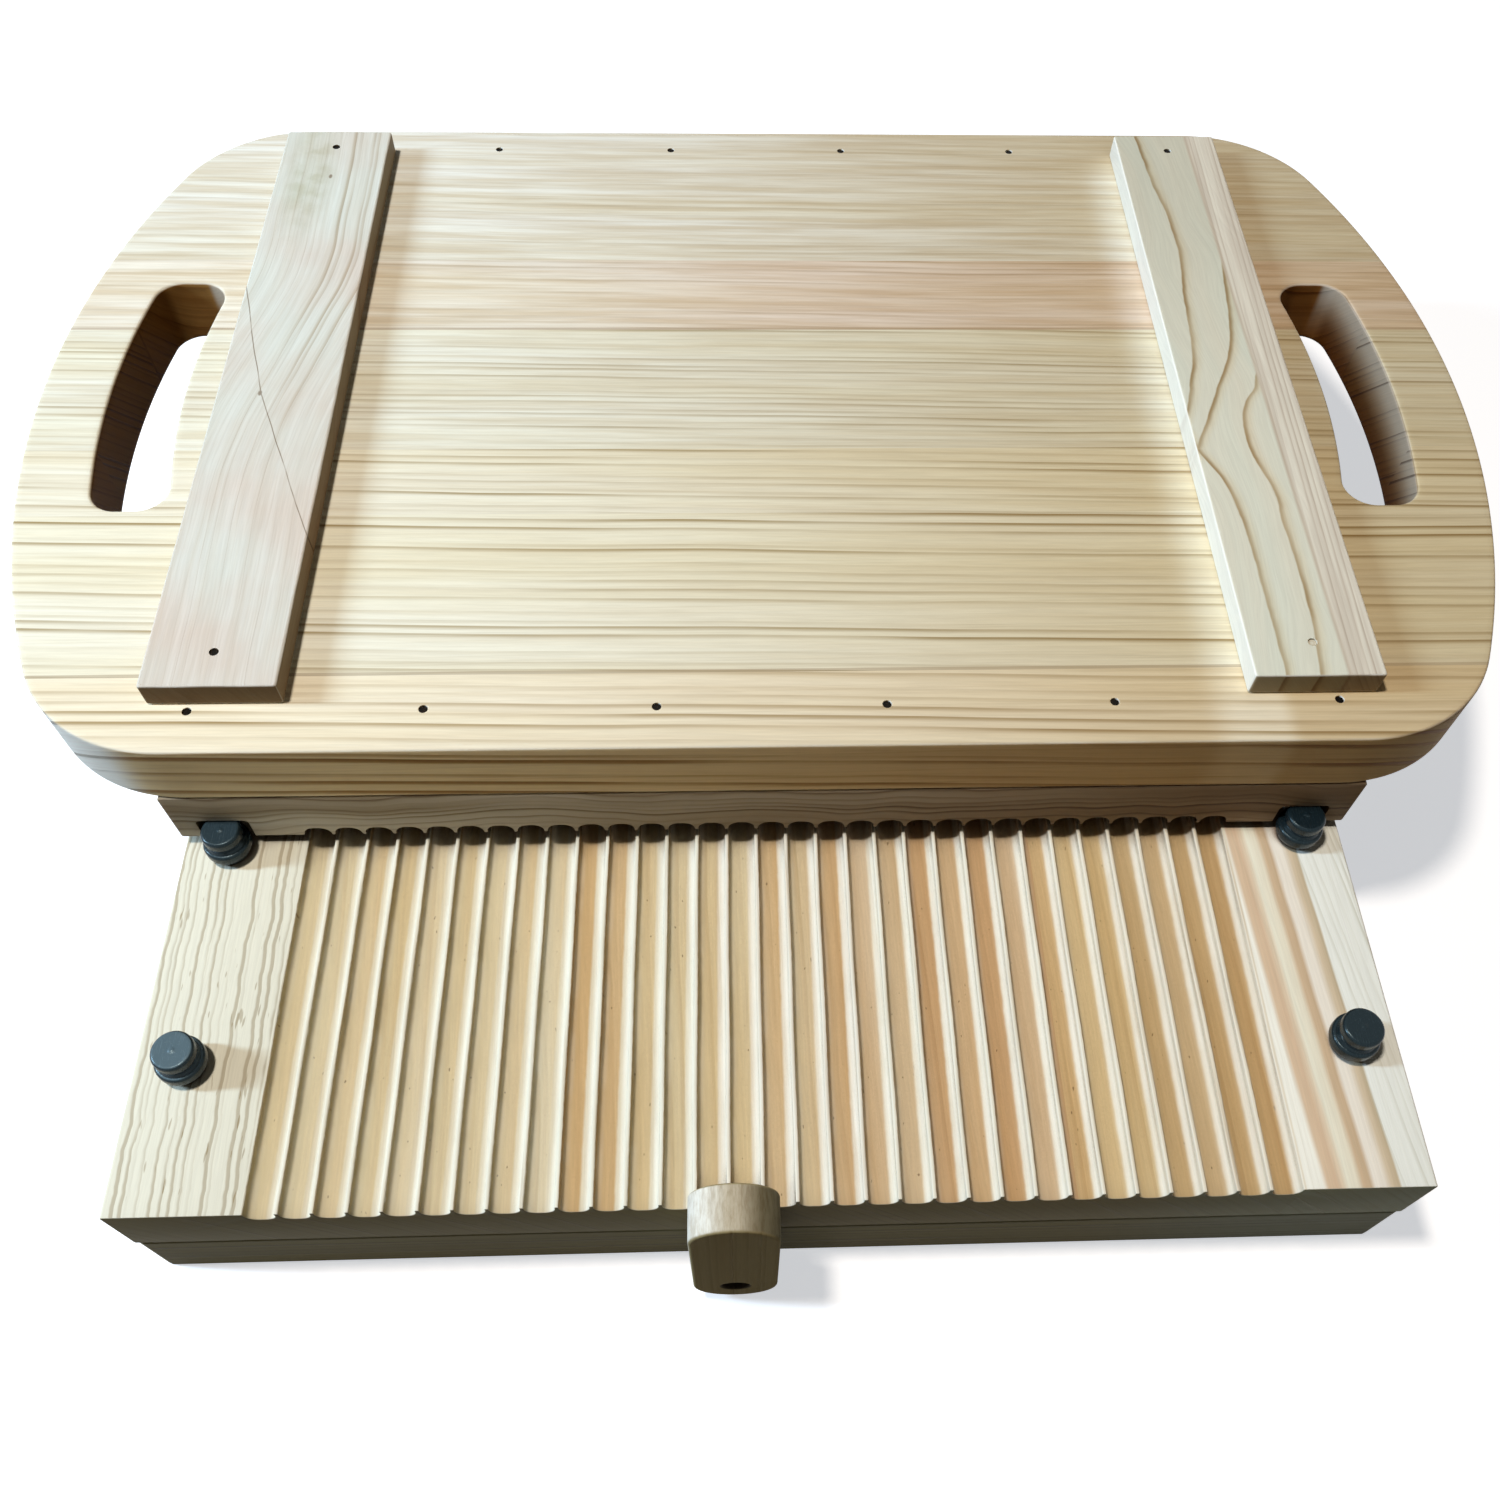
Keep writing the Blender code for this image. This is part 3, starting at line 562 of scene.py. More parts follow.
groove_pine, shader, place, normal = start_material("groove_pine")
x, y, z = split(place)
from_left, width = ramp(x, PLATE_LOW.x, PLATE_HIGH.x), (PLATE_HIGH.x - PLATE_LOW.x) / MM
plate_tint, _ = stripes(from_left, PLATE_STAVES, width)
grain = wood_lines(place, along=ACROSS_Y, across=(1, 0.03, 0.8), spacing=4.2 * MM,
                   sway=3 * MM, sway_length=140 * MM, seed=2.0)
ragged = (noise(place, 260.0, 3.0) - 0.5) * FLOOR_RAGGED
in_groove = maths("WRAP", x, PITCH / 2, -PITCH / 2) + ragged
before_wall = in_groove - ease(from_left, 0.2, 0.8, *FLOOR_RIGHT)
# The floors' tan, partly the wood's own and partly painted shade, stops short of the wall that
# looks left
floors = ease(in_groove, *FLOOR_LEFT) * ease(before_wall, *FLOOR_FADE)
luck = add_node("ShaderNodeTexWhiteNoise", {"W": maths("FLOOR", x / PITCH + 0.5)},
                noise_dimensions="1D")
floor_tint, _ = stripes(Value(luck.outputs["Value"]), FLOOR_TINTS)
floor_tint = stain(floor_tint, grain["Tone"], 248, 238, 222)
specks = ease(noise(join(x * 900.0, y * 420.0, 7.0), 1.0, 1.0), 0.74, 0.78)
floor_tint = blend(specks * 0.6, floor_tint, tint(120, 92, 58))
# Painted shade in each groove's left corner
floor_tint = stain(floor_tint, ease(in_groove, *CORNER_SHADE) * 0.75, 176, 156, 116)
stretch_tint, _ = stripes(from_left, STRETCHES, width)
floor_tint = blend(ease(x, *STRETCHES_X), floor_tint, stretch_tint, "MULTIPLY")
colour = blend(floors, plate_tint, floor_tint)
colour = stain(colour, grain["Line"] * 0.3, 206, 184, 154)
wavy = wood_lines(place, along=ACROSS_Y, across=(1, 0.02, 0.6), spacing=2.7 * MM,
                  sway=1.1 * MM, sway_length=9 * MM, seed=6.4)
flecks = ease(noise(join(x * 900.0, y * 120.0, z * 900.0), 1.0, 1.0), 0.69, 0.76)
wavy_lines = maths("ADD", flecks * 0.6, ease(wavy["Line"], 0.0, 0.4, 0.0, 0.62), clamp=True)
left_margin = blend(wavy_lines, plate_tint, tint(168, 152, 122))
slanted = x + (y - BOARD_LOW.y) * BAND_SLANT + (noise(place, 30.0, 1.0) - 0.5) * BAND_WANDER
band = ramp(slanted, BANDS_X, BANDS_X + BANDS_WIDTH * MM)
right_margin, _ = stripes(band, BANDS, BANDS_WIDTH, "LINEAR")
fine = wood_lines(place, along=(-0.12, 1, 0), across=(1, 0.12, 0.6), spacing=2.5 * MM,
                  sway=0.7 * MM, sway_length=40 * MM, seed=3.3)
fine_share = fine["Line"] * ease(band, 0.9, 1.0, 0.1, 0.5)
right_margin = blend(fine_share, right_margin, tint(186, 180, 152))
margins = ease(abs(x), *MARGIN_X)
colour = blend(margins, colour, blend(maths("GREATER_THAN", x, 0.0), left_margin, right_margin))
colour = stain(colour, ease(x, *BROWNER_X) * (1.0 - margins), 247, 240, 234)
ends = ease(abs(measure(normal, ACROSS_Y)), 0.5, 0.8)
colour = blend(ends, colour, blend(grain["Line"], plate_tint, tint(206, 198, 176)))
# Painted shade: the wood is darkened where the grooves are shut in under the upper board
openness = add_node("ShaderNodeAmbientOcclusion",
                    {"Color": colour, "Distance": SHUT_IN_REACH}, samples=8)
colour = stain(colour, ease(Value(openness.outputs["AO"]), *SHUT_IN), 112, 80, 52)
front_tint = blend(ease(x, *BROWNER_FRONT_X), tint(152, 155, 136), tint(114, 104, 68))
finish_wood(shader, place, normal, grain, colour, along=ACROSS_Y, end=front_tint, roughness=0.6,
            edge_share=0.2)
print("plate staves:", len(PLATE_STAVES), "groove tans:", len(FLOOR_TINTS))

# %% [markdown]
# ## The darker woods
# The upper plate, the base board and the stop block are plain boards of greyer wood. They differ
# in colour and in the way their grain runs. The upper plate and the base show lying lines on
# their fronts, so their years follow the height. The upper plate is painted nearly black as shade
# low down in its grooves and channels, and painted darker towards the right, as the lamps' light
# falls off. The stop block stands on end, so its lines stand too: its top is painted paler on the
# left and darker on the right, as light from the left falls on it, and its screw's well is
# painted dark as shade, a dark ring round the hole.

# %% Plain woods
PAINTED_SHADE_BELOW_Z = (67 * MM, 61 * MM)
STOP_HOLE, STOP_RING = (-13 * MM, 13.5 * MM), (5 * MM, 5 * MM)


def plain_wood(name, pale, tone, line, **grain_habits):
    """A pale wood with darker stretches and lines: its material and what its finish needs."""
    material, shader, place, normal = start_material(name)
    grain = wood_lines(place, **grain_habits)
    colour = stain(stain(pale, grain["Tone"], *tone), grain["Line"], *line)
    return material, (shader, place, normal, grain), colour, split(place), normal


upper_tint, base_tint, stop_tint = tint(200, 190, 172), tint(148, 151, 130), tint(176, 163, 124)
upper_pine, parts, colour, (x, _, z), normal = plain_wood(
    "upper_plate_pine", upper_tint, (190, 174, 152), (160, 142, 120), along=ACROSS_X,
    across=(0, 0.12, 1), spacing=3.2 * MM, sway=9 * MM, sway_length=55 * MM, seed=5.0)
# Painted shade: low down, on all but the front and back faces, the grooves and channels are painted
# nearly black
inside = ease(abs(measure(normal, ACROSS_Y)), 0.8, 0.3) * ease(z, *PAINTED_SHADE_BELOW_Z)
colour = blend(inside, colour, tint(48, 29, 15))
# Painted shade: darker towards the right, as the lamps' light falls off
colour = stain(colour, ease(x, PLATE_LOW.x, PLATE_HIGH.x), 206, 190, 174)
finish_wood(*parts, colour, along=ACROSS_X, end=tint(180, 160, 130), roughness=0.62,
            edge=upper_tint, edge_share=0.3)

base_pine, parts, colour, (x, _, _), _ = plain_wood(
    "base_pine", base_tint, (200, 196, 184), (150, 140, 118), along=ACROSS_X,
    across=(0, 0.2, 1), spacing=2.6 * MM, sway=1.2 * MM, sway_length=200 * MM, seed=9.0)
colour = stain(colour, ease(x, *BROWNER_FRONT_X), 198, 178, 126)
finish_wood(*parts, colour, along=ACROSS_X, end=tint(214, 216, 208), roughness=0.62,
            edge=base_tint, edge_share=0.3)

stop_wood, parts, colour, (x, y, z), normal = plain_wood(
    "stop_wood", stop_tint, (222, 214, 198), (200, 190, 170), along=ACROSS_Z,
    across=(1, 0.04, 0.0), spacing=2.6 * MM, sway=0.8 * MM, sway_length=60 * MM, seed=3.0)
# Painted light and shade: faces that look left are painted paler, those that look right darker, as
# light from the left falls
leaning = measure(normal, ACROSS_X)
painted_shade_right = blend(ease(leaning, 0.0, 0.7), tint(200, 188, 164), tint(138, 132, 108))
top_painted_light_and_shade = blend(ease(leaning, -0.75, -0.05), tint(244, 242, 232), painted_shade_right)
strokes = ease(noise(join(x * 700.0, y * 150.0, z * 500.0), 1.0, 4.0, 0.7), 0.35, 0.7)
top_painted_light_and_shade = stain(top_painted_light_and_shade, strokes, 222, 214, 204)
colour = blend(ease(abs(measure(normal, ACROSS_Y)), 0.3, 0.8), top_painted_light_and_shade, colour)
# Painted shade: the screw's well is painted dark, a dark ring round the hole
clear_of_hole_shade = ease(off_centre(x, z, STOP_HOLE, STOP_RING), 0.84, 1.0)
colour = blend(clear_of_hole_shade, tint(52, 44, 34), colour)
finish_wood(*parts, colour, along=ACROSS_Z, end=WHITE, roughness=0.78, facing=ACROSS_Y,
            edge=stop_tint, edge_share=0.3, relief=0.0)
print("plain woods:", upper_pine.name, base_pine.name, stop_wood.name)

# %% [markdown]
# ## The battens
# The two battens on top were cut from different planks. The left one is a pale, silvery grey. Its
# lines sweep to the right half way, and a thin crack runs through a pin knot and bends there.
# The right one is cream, with four wide brown lines that wander, and a pink-brown strip with fine
# lines along its right. Random lines never wander like that, so each is a drawn curve: it gives X
# for every Y, and a point is on the line where its own X lies close to that.

# %% Left batten's material
KNOTS, KNOT_REACH = ((-169 * MM, 69.4 * MM), (-163 * MM, 188 * MM)), (0.8 * MM, 1.5 * MM)
CRACK_SLANTS, CRACK_EDGE, CRACK_WANDER = (-0.26, -0.4), (0.26 * MM, 0.104 * MM), 1.4 * MM
SWEEP, SWEEP_Y = 22 * MM, (30 * MM, 150 * MM)
STAIN_MIDDLE, STAIN_REACH = (-171 * MM, 190 * MM), (10 * MM, 42 * MM)
BOLD_X, BOLD_Y = (-171 * MM, -154 * MM), (20 * MM, 80 * MM)

grey_wood, shader, place, normal = start_material("silver_batten_wood")
x, y, z = split(place)
swept = join(x - ease(y, *SWEEP_Y, 0.0, SWEEP), y, z)
grain = wood_lines(swept, along=ACROSS_Y, across=(1, 0.02, 0.5), spacing=3.4 * MM,
                   sway=2 * MM, sway_length=60 * MM, seed=1.3)
fine = wood_lines(swept, along=ACROSS_Y, across=(1, 0.01, 0.4), spacing=1.2 * MM,
                  sway=1.2 * MM, sway_length=40 * MM, seed=6.1)
patch = noise(place, 26.0, 3.0) + 0.45 + measure(place, (3.0, -1.6, 0)) * 0.6
colour = blend(ease(patch, 0.3, 1.0), tint(228, 233, 226), tint(226, 214, 203))
stained = ease(off_centre(x, y, STAIN_MIDDLE, STAIN_REACH), 1.2, 0.3)
stained = stained * ease(noise(place, 120.0, 3.0), 0.35, 0.65, 0.4, 1.0)
colour = stain(colour, stained, 230, 228, 216)
colour = stain(colour, fine["Streak"] * 0.35, 226, 216, 202)
bold = ease(ease(x, *BOLD_X) * ease(y, *BOLD_Y), 0.0, 1.0, 0.04, 0.7)
lines = maths("ADD", grain["Line"] * bold, fine["Line"] * 0.13, clamp=True)
colour = stain(colour, lines, 196, 178, 152)
knot_x, knot_y = KNOTS[0]
crack_x = maths("MAXIMUM", *((y - knot_y) * slant for slant in CRACK_SLANTS))
crack_x = crack_x + (noise(place, 35.0) - 0.5) * CRACK_WANDER + knot_x
crack = ease(abs(x - crack_x), *CRACK_EDGE) * ease(noise(place, 90.0), 0.3, 0.5, 0.35, 1.0)
for middle in KNOTS:
    crack = maths("MAXIMUM", crack, ease(off_centre(x, y, middle, KNOT_REACH), 1.1, 0.5))
colour = blend(crack * 0.8, colour, tint(130, 112, 92))
# Painted shade: the batten's sides are painted darker
colour = stain(colour, ease(abs(measure(normal, ACROSS_X)), 0.6, 0.9), 162, 142, 116)
finish_wood(shader, place, normal, grain, colour, along=ACROSS_Y, end=tint(138, 118, 92),
            roughness=0.55)
print("pin knots:", len(KNOTS), "crack's slants, mm sideways per mm:", CRACK_SLANTS)

# %% Right batten's material
RIGHT_LOW, RIGHT_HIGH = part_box("batten_right")
# Each drawn growth line as points (y, x) in mm, from the front end to the rear end
DRAWN_LINES = [
    [(-52, 100), (40, 134), (60, 144), (75, 148), (87, 151), (100, 152.5), (125, 154.5),
     (135, 156), (160, 156.5), (185, 154), (217, 152)],
    [(-52, 110), (42, 144), (60, 152), (72, 157), (80, 161), (92, 165), (103, 167.5),
     (128, 170.5), (217, 180)],
    [(-52, 153), (-20, 153), (0, 153), (15, 152), (25, 150.5), (32, 148), (42, 144), (217, 100)],
    [(-52, 163), (-30, 165.5), (-10, 166), (10, 165.5), (22, 166), (35, 163), (45, 161.5),
     (56, 162.5), (64, 165), (73.5, 170.5), (217, 190)]]
DRAWN_FROM_X, DRAWN_WIDTH, DRAWN_WAVER = 100 * MM, 100 * MM, 1.2 * MM
LINE_EDGE, LINE_CORE, LINE_HALO = (-0.6 * MM, 0.0), (1.9 * MM, 0.0), (4.5 * MM, 0.0)
STRIP_X, STRIP_EDGE_X = (170.9 * MM, 172.1 * MM), (173.2 * MM, 171.9 * MM)
REAR_SHADE_Y = (30 * MM, 190 * MM)


def drawn_line(x, y, points):
    """How far X lies beside a curve through points of (y, x): a float curve gives the line's X."""
    node = add_node("ShaderNodeFloatCurve", {"Value": ramp(y, RIGHT_LOW.y, RIGHT_HIGH.y)})
    curve = node.mapping.curves[0]
    shares = [((line_y * MM - RIGHT_LOW.y) / (RIGHT_HIGH.y - RIGHT_LOW.y),
               (line_x * MM - DRAWN_FROM_X) / DRAWN_WIDTH) for line_y, line_x in points]
    curve.points[0].location, curve.points[-1].location = shares[0], shares[-1]
    for share in shares[1:-1]:
        curve.points.new(*share)
    node.mapping.update()
    return x - Value(node.outputs[0]) * DRAWN_WIDTH - DRAWN_FROM_X


cream_wood, shader, place, normal = start_material("cream_batten_wood")
grain = wood_lines(place, along=(0.1, 1, 0), across=(1, 0.06, 0.7), spacing=9 * MM,
                   sway=17 * MM, sway_length=100 * MM, seed=2.6)
fine = wood_lines(place, along=(0.02, 1, 0), across=(1, -0.02, 0.6), spacing=1.9 * MM,
                  sway=0.8 * MM, sway_length=100 * MM, seed=8.0)
x, y, _ = split(place)
colour = blend(grain["Tone"], tint(226, 229, 213), tint(230, 225, 206))
wavering_x = x + (noise(place, 110.0) - 0.5) * DRAWN_WAVER
halo, core = 0.0, 0.0
for points in DRAWN_LINES:
    beside = drawn_line(wavering_x, y, points)
    begins = ease(beside, *LINE_EDGE)
    halo = maths("MAXIMUM", halo, begins * ease(beside, *LINE_HALO))
    core = maths("MAXIMUM", core, begins * ease(beside, *LINE_CORE))
colour = stain(colour, halo * 0.7, 244, 230, 208)
colour = stain(colour, core * ease(noise(place, 40.0, 1.0), 0.35, 0.6, 0.55, 0.95), 188, 166, 138)
# Painted shade: a little greyer and darker towards the rear
colour = stain(colour, ease(y, *REAR_SHADE_Y), 238, 239, 238)
strip_tint = blend(fine["Streak"], tint(236, 230, 214), tint(218, 208, 192))
strip_tint = blend(fine["Line"] * 0.8, strip_tint, tint(186, 170, 152))
strip_tint = blend(ease(x, *STRIP_EDGE_X) * 0.6, strip_tint, tint(190, 172, 150))
colour = blend(ease(x, *STRIP_X), colour, strip_tint)
# Painted light: the side that looks left is painted near white, as lit by the window
left_side_painted_light = ease(measure(normal, ACROSS_X), -0.3, -0.8)
colour = blend(left_side_painted_light * 0.8, colour, tint(252, 252, 246))
finish_wood(shader, place, normal, grain, colour, along=ACROSS_Y, end=tint(168, 152, 132),
            roughness=0.55)
print("drawn lines:", len(DRAWN_LINES))

# %% [markdown]
# ## Plastic and steel
# The glides are turned from black plastic and polished by use. The caps of the left row are
# painted greyer and bluish, most at the front, as a painted reflection of the window. The nails
# and the screw are dark iron with a touch of rust. Both carry the same specks and scuffs, in
# different strength, so those are a node group: small pits, and long thin scratches from noise
# that is stretched.
# One nail, the right batten's front one, can't be seen on the real thing: its hole is filled.

# %% Node group: specks and scuffs
marks, given, out = start_group("specks_and_scuffs", {"X": 0.0, "Y": 0.0, "Z": 0.0, "Size": MM},
                                ("Specks", "Scuffs"))
spot_x, spot_y, spot_z = [given[side] / given["Size"] for side in "XYZ"]
scratches = noise(join(spot_x, given["Y"] * 90.0, spot_z), 1.4, 4.0, 0.7)
fill(out, {"Specks": ease(noise(join(spot_x, spot_y, spot_z), 1.0, 1.0), 0.62, 0.72),
           "Scuffs": ease(scratches, 0.5, 0.75)})
print("specks_and_scuffs:", len(marks.nodes), "nodes")

# %% Black plastic, dark steel and filler
CAP_REFLECTION, REFLECTION_X, REFLECTION_Y = (0.11, 0.17, 0.205, 1), (0.0, -148.8 * MM), (-90 * MM, -130 * MM)


def hard_finish(name, size, share, dark, pale, rough, scuffed, metallic, sheen, shine):
    """A hard material with specks and scuffs; returns it with its shader, colour and parts."""
    material, shader, place, normal = start_material(name)
    x, y, z = split(place)
    worn = place_group(marks, {"X": x, "Y": y, "Z": z, "Size": size})
    colour = blend(worn["Specks"] * share, dark, pale)
    fill(shader, {"Base Color": colour, "Metallic": metallic, "Specular Tint": sheen,
                  "Specular IOR Level": shine,
                  "Roughness": ease(worn["Scuffs"], 0.0, 1.0, rough, scuffed)})
    raise_relief(shader, worn["Specks"] + worn["Scuffs"], 0.03 * MM, 0.5)
    return material, shader, colour, (x, y, normal, worn["Scuffs"])


dark_steel, *_ = hard_finish(
    "dark_steel", size=0.35 * MM, share=0.8, dark=(0.011, 0.01, 0.009, 1),
    pale=(0.06, 0.034, 0.02, 1), rough=0.5, scuffed=0.75, metallic=1.0, sheen=WHITE, shine=0.5)
black_plastic, shader, colour, (x, y, normal, scuffs) = hard_finish(
    "black_plastic", size=0.5 * MM, share=0.5, dark=(0.007, 0.014, 0.018, 1),
    pale=(0.024, 0.04, 0.05, 1), rough=0.25, scuffed=0.42, metallic=0.0, sheen=(0.7, 0.92, 1, 1),
    shine=0.28)
# Painted reflection: the caps of the left row, most at the front, are painted greyer and bluish
painted_reflection = ease(measure(normal, ACROSS_Z), 0.75, 0.97) * ease(x, *REFLECTION_X)
painted_reflection = painted_reflection * ease(y, *REFLECTION_Y, 0.2, 1.0) * ease(scuffs, 0.0, 1.0, 0.75, 1.0)
fill(shader, {"Base Color": blend(painted_reflection, colour, CAP_REFLECTION)})

filler, shader, place, normal = start_material("nail_filler")
mottled = ease(noise(place, 900.0), 0.35, 0.65)
fill(shader, {"Base Color": blend(mottled, tint(220, 214, 194), tint(206, 194, 170)),
              "Roughness": 0.8, "Specular IOR Level": DULL})
print("hard finishes:", dark_steel.name, black_plastic.name, filler.name)

# %% [markdown]
# ## Shapes from rows of points
# Every finer piece is made the same way: rows of points, as one numpy array, with a face between
# each four neighbours, round and round. Flat ends are filled between the last rows, holes and
# all. The helpers below keep the order of the points such that all faces look outwards.

# %% Mesh helpers
SMOOTH_BELOW = math.radians(32)


def arc(centre, radius, start, end, steps):
    """Points of a circle: centre + radius (cos a, sin a), with a in equal steps, in degrees."""
    angle = np.radians(np.linspace(start, end, steps + 1))
    return np.column_stack((centre[0] + radius * np.cos(angle), centre[1] + radius * np.sin(angle)))


def inset(loop, distance):
    """A closed outline moved to its left: point + distance (-t.y, t.x), with t the tangent."""
    tangent = np.roll(loop, -1, axis=0) - np.roll(loop, 1, axis=0)
    tangent /= np.linalg.norm(tangent, axis=1, keepdims=True)
    return loop + distance * np.column_stack((-tangent[:, 1], tangent[:, 0]))


def tube_faces(rows, count, first=0):
    """Four-cornered faces between neighbouring closed rows, as rows of point numbers."""
    row_start, column = np.arange(rows - 1)[:, None] * count + first, np.arange(count)
    low, following = row_start + column, row_start + (column + 1) % count
    return np.stack((low, following, following + count, low + count), axis=-1).reshape(-1, 4)


def shade(mesh):
    """Smooth shading, apart from the edges that are sharper than SMOOTH_BELOW."""
    mesh.shade_smooth()
    mesh.set_sharp_from_angle(angle=SMOOTH_BELOW)


def add_piece(name, points, faces, material, node):
    """A mesh from points and faces that stands for a CAD node and rides on that node's body."""
    mesh = bpy.data.meshes.new(name)
    mesh.from_pydata(points.tolist(), [], faces)
    mesh.materials.append(material)
    shade(mesh)
    piece = bpy.data.objects.new(name, mesh)
    bpy.context.scene.collection.objects.link(piece)
    body = frame["nodes"][node]["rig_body"]
    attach(piece, body)
    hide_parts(node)
    print(name, "faces:", len(mesh.polygons), "rides on:", body)
    return piece


def fill_ends(mesh, first_rows, last_rows):
    """Close a board's underside and its top, inside the outline and outside the holes."""
    bm = bmesh.new()
    bm.from_mesh(mesh)
    bm.verts.ensure_lookup_table()
    for rows, direction in ((first_rows, -1), (last_rows, 1)):
        edges = [bm.edges.get((bm.verts[start + index], bm.verts[start + (index + 1) % count]))
                 for start, count in rows for index in range(count)]
        bmesh.ops.triangle_fill(bm, edges=edges, use_beauty=True, normal=(0, 0, direction))
    bm.to_mesh(mesh)
    bm.free()


print("mesh helpers ready")

# %% [markdown]
# ## A board with rounded edges and holes
# A sawn board is an outline with a thickness. Its edges were broken with a plane, so the outline
# is carried up in rows: inwards on the underside, round the lower edge, up the side, round the
# upper edge and inwards on top. A quarter circle is inset = r (1 - sin a), height =
# r (1 - cos a). One flat row beyond each edge keeps the shading of the wide faces flat. A hole is
# the same, with its outline run the other way round, so "inwards" means away from the hole.

# %% Board helper
def board_rows(loop, thickness, radius, band, steps=4):
    """A board's side as an array (row, point, 3), from the underside's flat band to the top's."""
    angle = np.radians(np.linspace(0, 90, steps + 1))
    low_inset, low_height = radius * (1 - np.sin(angle)), radius * (1 - np.cos(angle))
    insets = [radius + band, *low_inset, 0, 0, *low_inset[::-1], radius + band]
    heights = [0, *low_height, radius + band, thickness - radius - band,
               *(thickness - low_height[::-1]), thickness]
    return np.stack([np.column_stack((inset(loop, distance), np.full(len(loop), height)))
                     for distance, height in zip(insets, heights)])


def add_board(name, stacks, material, node, place):
    """A board from stacks of rows, its outside and then its holes; place moves it home."""
    points, faces, first_rows, last_rows, start = [], [], [], [], 0
    for rows in stacks:
        count = rows.shape[1]
        points.append(rows.reshape(-1, 3))
        faces.append(tube_faces(len(rows), count, start))
        first_rows.append((start, count))
        last_rows.append((start + (len(rows) - 1) * count, count))
        start += rows.shape[0] * count
    piece = add_piece(name, np.concatenate(points), np.concatenate(faces).tolist(), material,
                      node)
    fill_ends(piece.data, first_rows, last_rows)
    piece.data.transform(place)
    shade(piece.data)


def ring(centre, radius, steps=24):
    """A small round hole's outline, clockwise, as holes are."""
    return arc(centre, radius, 360, 0, steps)[:-1]


print("board helpers ready")

# %% [markdown]
# ## The handle board
# The board's ends are wide arcs that run into round corners, and each hand hole is a slot bent
# round the same middle, so that the grip is equally wide all along. The outline is made of arcs
# that touch: a corner's middle lies on the end arc's own middle, reach times further in.
# Ten small holes let the nail heads sit below the surface.

# %% Handle board
END_RADIUS = 303 * MM
CORNER_RADIUS = 50 * MM
BOARD_EDGE, FLAT_BAND = 0.9 * MM, 1.5 * MM
HOLE_MARGIN, HOLE_WIDTH, HOLE_LENGTH = 23.5 * MM, 25 * MM, 112 * MM
HOLE_CORNER, HOLE_EDGE = 9.5 * MM, 1.1 * MM
NAIL_HOLE, NAIL_SOFT, NAIL_BAND = 1.4 * MM, 0.1 * MM, 0.3 * MM
end_middle = board_size.x / 2 - END_RADIUS


def board_outline():
    """Both ends' arcs and four corner arcs, anticlockwise about the board's own middle."""
    reach, rise = END_RADIUS - CORNER_RADIUS, board_size.y / 2 - CORNER_RADIUS
    swing = math.degrees(math.asin(rise / reach))
    corner_x = end_middle + math.sqrt(reach ** 2 - rise ** 2)
    half = np.concatenate((arc((corner_x, -rise), CORNER_RADIUS, -90, -swing, 20)[:-1],
                           arc((end_middle, 0), END_RADIUS, -swing, swing, 48),
                           arc((corner_x, rise), CORNER_RADIUS, swing, 90, 20)[1:]))
    return np.concatenate((half, -half))


def hand_hole(side):
    """A bent slot, clockwise: outer arc, corner, inner arc, corner; side is 1 or -1."""
    outer = END_RADIUS - HOLE_MARGIN
    inner = outer - HOLE_WIDTH
    reach = HOLE_LENGTH / 2 - HOLE_CORNER
    outer_swing = math.degrees(math.asin(reach / (outer - HOLE_CORNER)))
    inner_swing = math.degrees(math.asin(reach / (inner + HOLE_CORNER)))
    outer_x = end_middle + (outer - HOLE_CORNER) * math.cos(math.radians(outer_swing))
    inner_x = end_middle + (inner + HOLE_CORNER) * math.cos(math.radians(inner_swing))
    loop = np.concatenate((
        arc((end_middle, 0), outer, -outer_swing, outer_swing, 28),
        arc((outer_x, reach), HOLE_CORNER, outer_swing, 90, 10)[1:],
        arc((inner_x, reach), HOLE_CORNER, 90, 180 + inner_swing, 12)[:-1],
        arc((end_middle, 0), inner, inner_swing, -inner_swing, 28),
        arc((inner_x, -reach), HOLE_CORNER, 180 - inner_swing, 270, 12)[1:],
        arc((outer_x, -reach), HOLE_CORNER, 270, 360 - outer_swing, 10)[:-1]))
    return loop[::-1] if side > 0 else loop * (-1, 1)


def middle_of(node):
    """The middle of a CAD node's box."""
    low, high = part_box(node)
    return (low + high) / 2


def nail_rows(place, thickness):
    """A nail's hole, as rows like a board's own."""
    return board_rows(ring(place.xy, NAIL_HOLE), thickness, NAIL_SOFT, NAIL_BAND, 2)


nail_places = [middle_of(f"board_nail_{number}") - board_middle for number in range(1, 11)]
stacks = [board_rows(board_outline(), board_size.z, BOARD_EDGE, FLAT_BAND)]
stacks += [board_rows(hand_hole(side), board_size.z, HOLE_EDGE, FLAT_BAND) for side in (1, -1)]
stacks += [nail_rows(place, board_size.z) for place in nail_places]
home = Matrix.Translation((board_middle.x, board_middle.y, BOARD_LOW.z))
add_board("handle_board_shaped", stacks, handle_pine, "handle_board", home)

# %% [markdown]
# ## The battens' shapes
# Each batten is a flat bar with lightly broken edges, nailed near both ends. They could be cubes
# with a bevel, but the nail holes have to be real, so they are boards as well.

# %% Battens
BATTEN_CORNER, BATTEN_EDGE, BATTEN_BAND = 1 * MM, 0.7 * MM, 0.2 * MM


def box_outline(width, depth, radius, steps=5):
    """A rectangle with round corners, anticlockwise: four quarter circles."""
    right, back = width / 2 - radius, depth / 2 - radius
    corners = ((right, back, 0), (-right, back, 90), (-right, -back, 180), (right, -back, 270))
    return np.concatenate([arc((x, y), radius, start, start + 90, steps)
                           for x, y, start in corners])


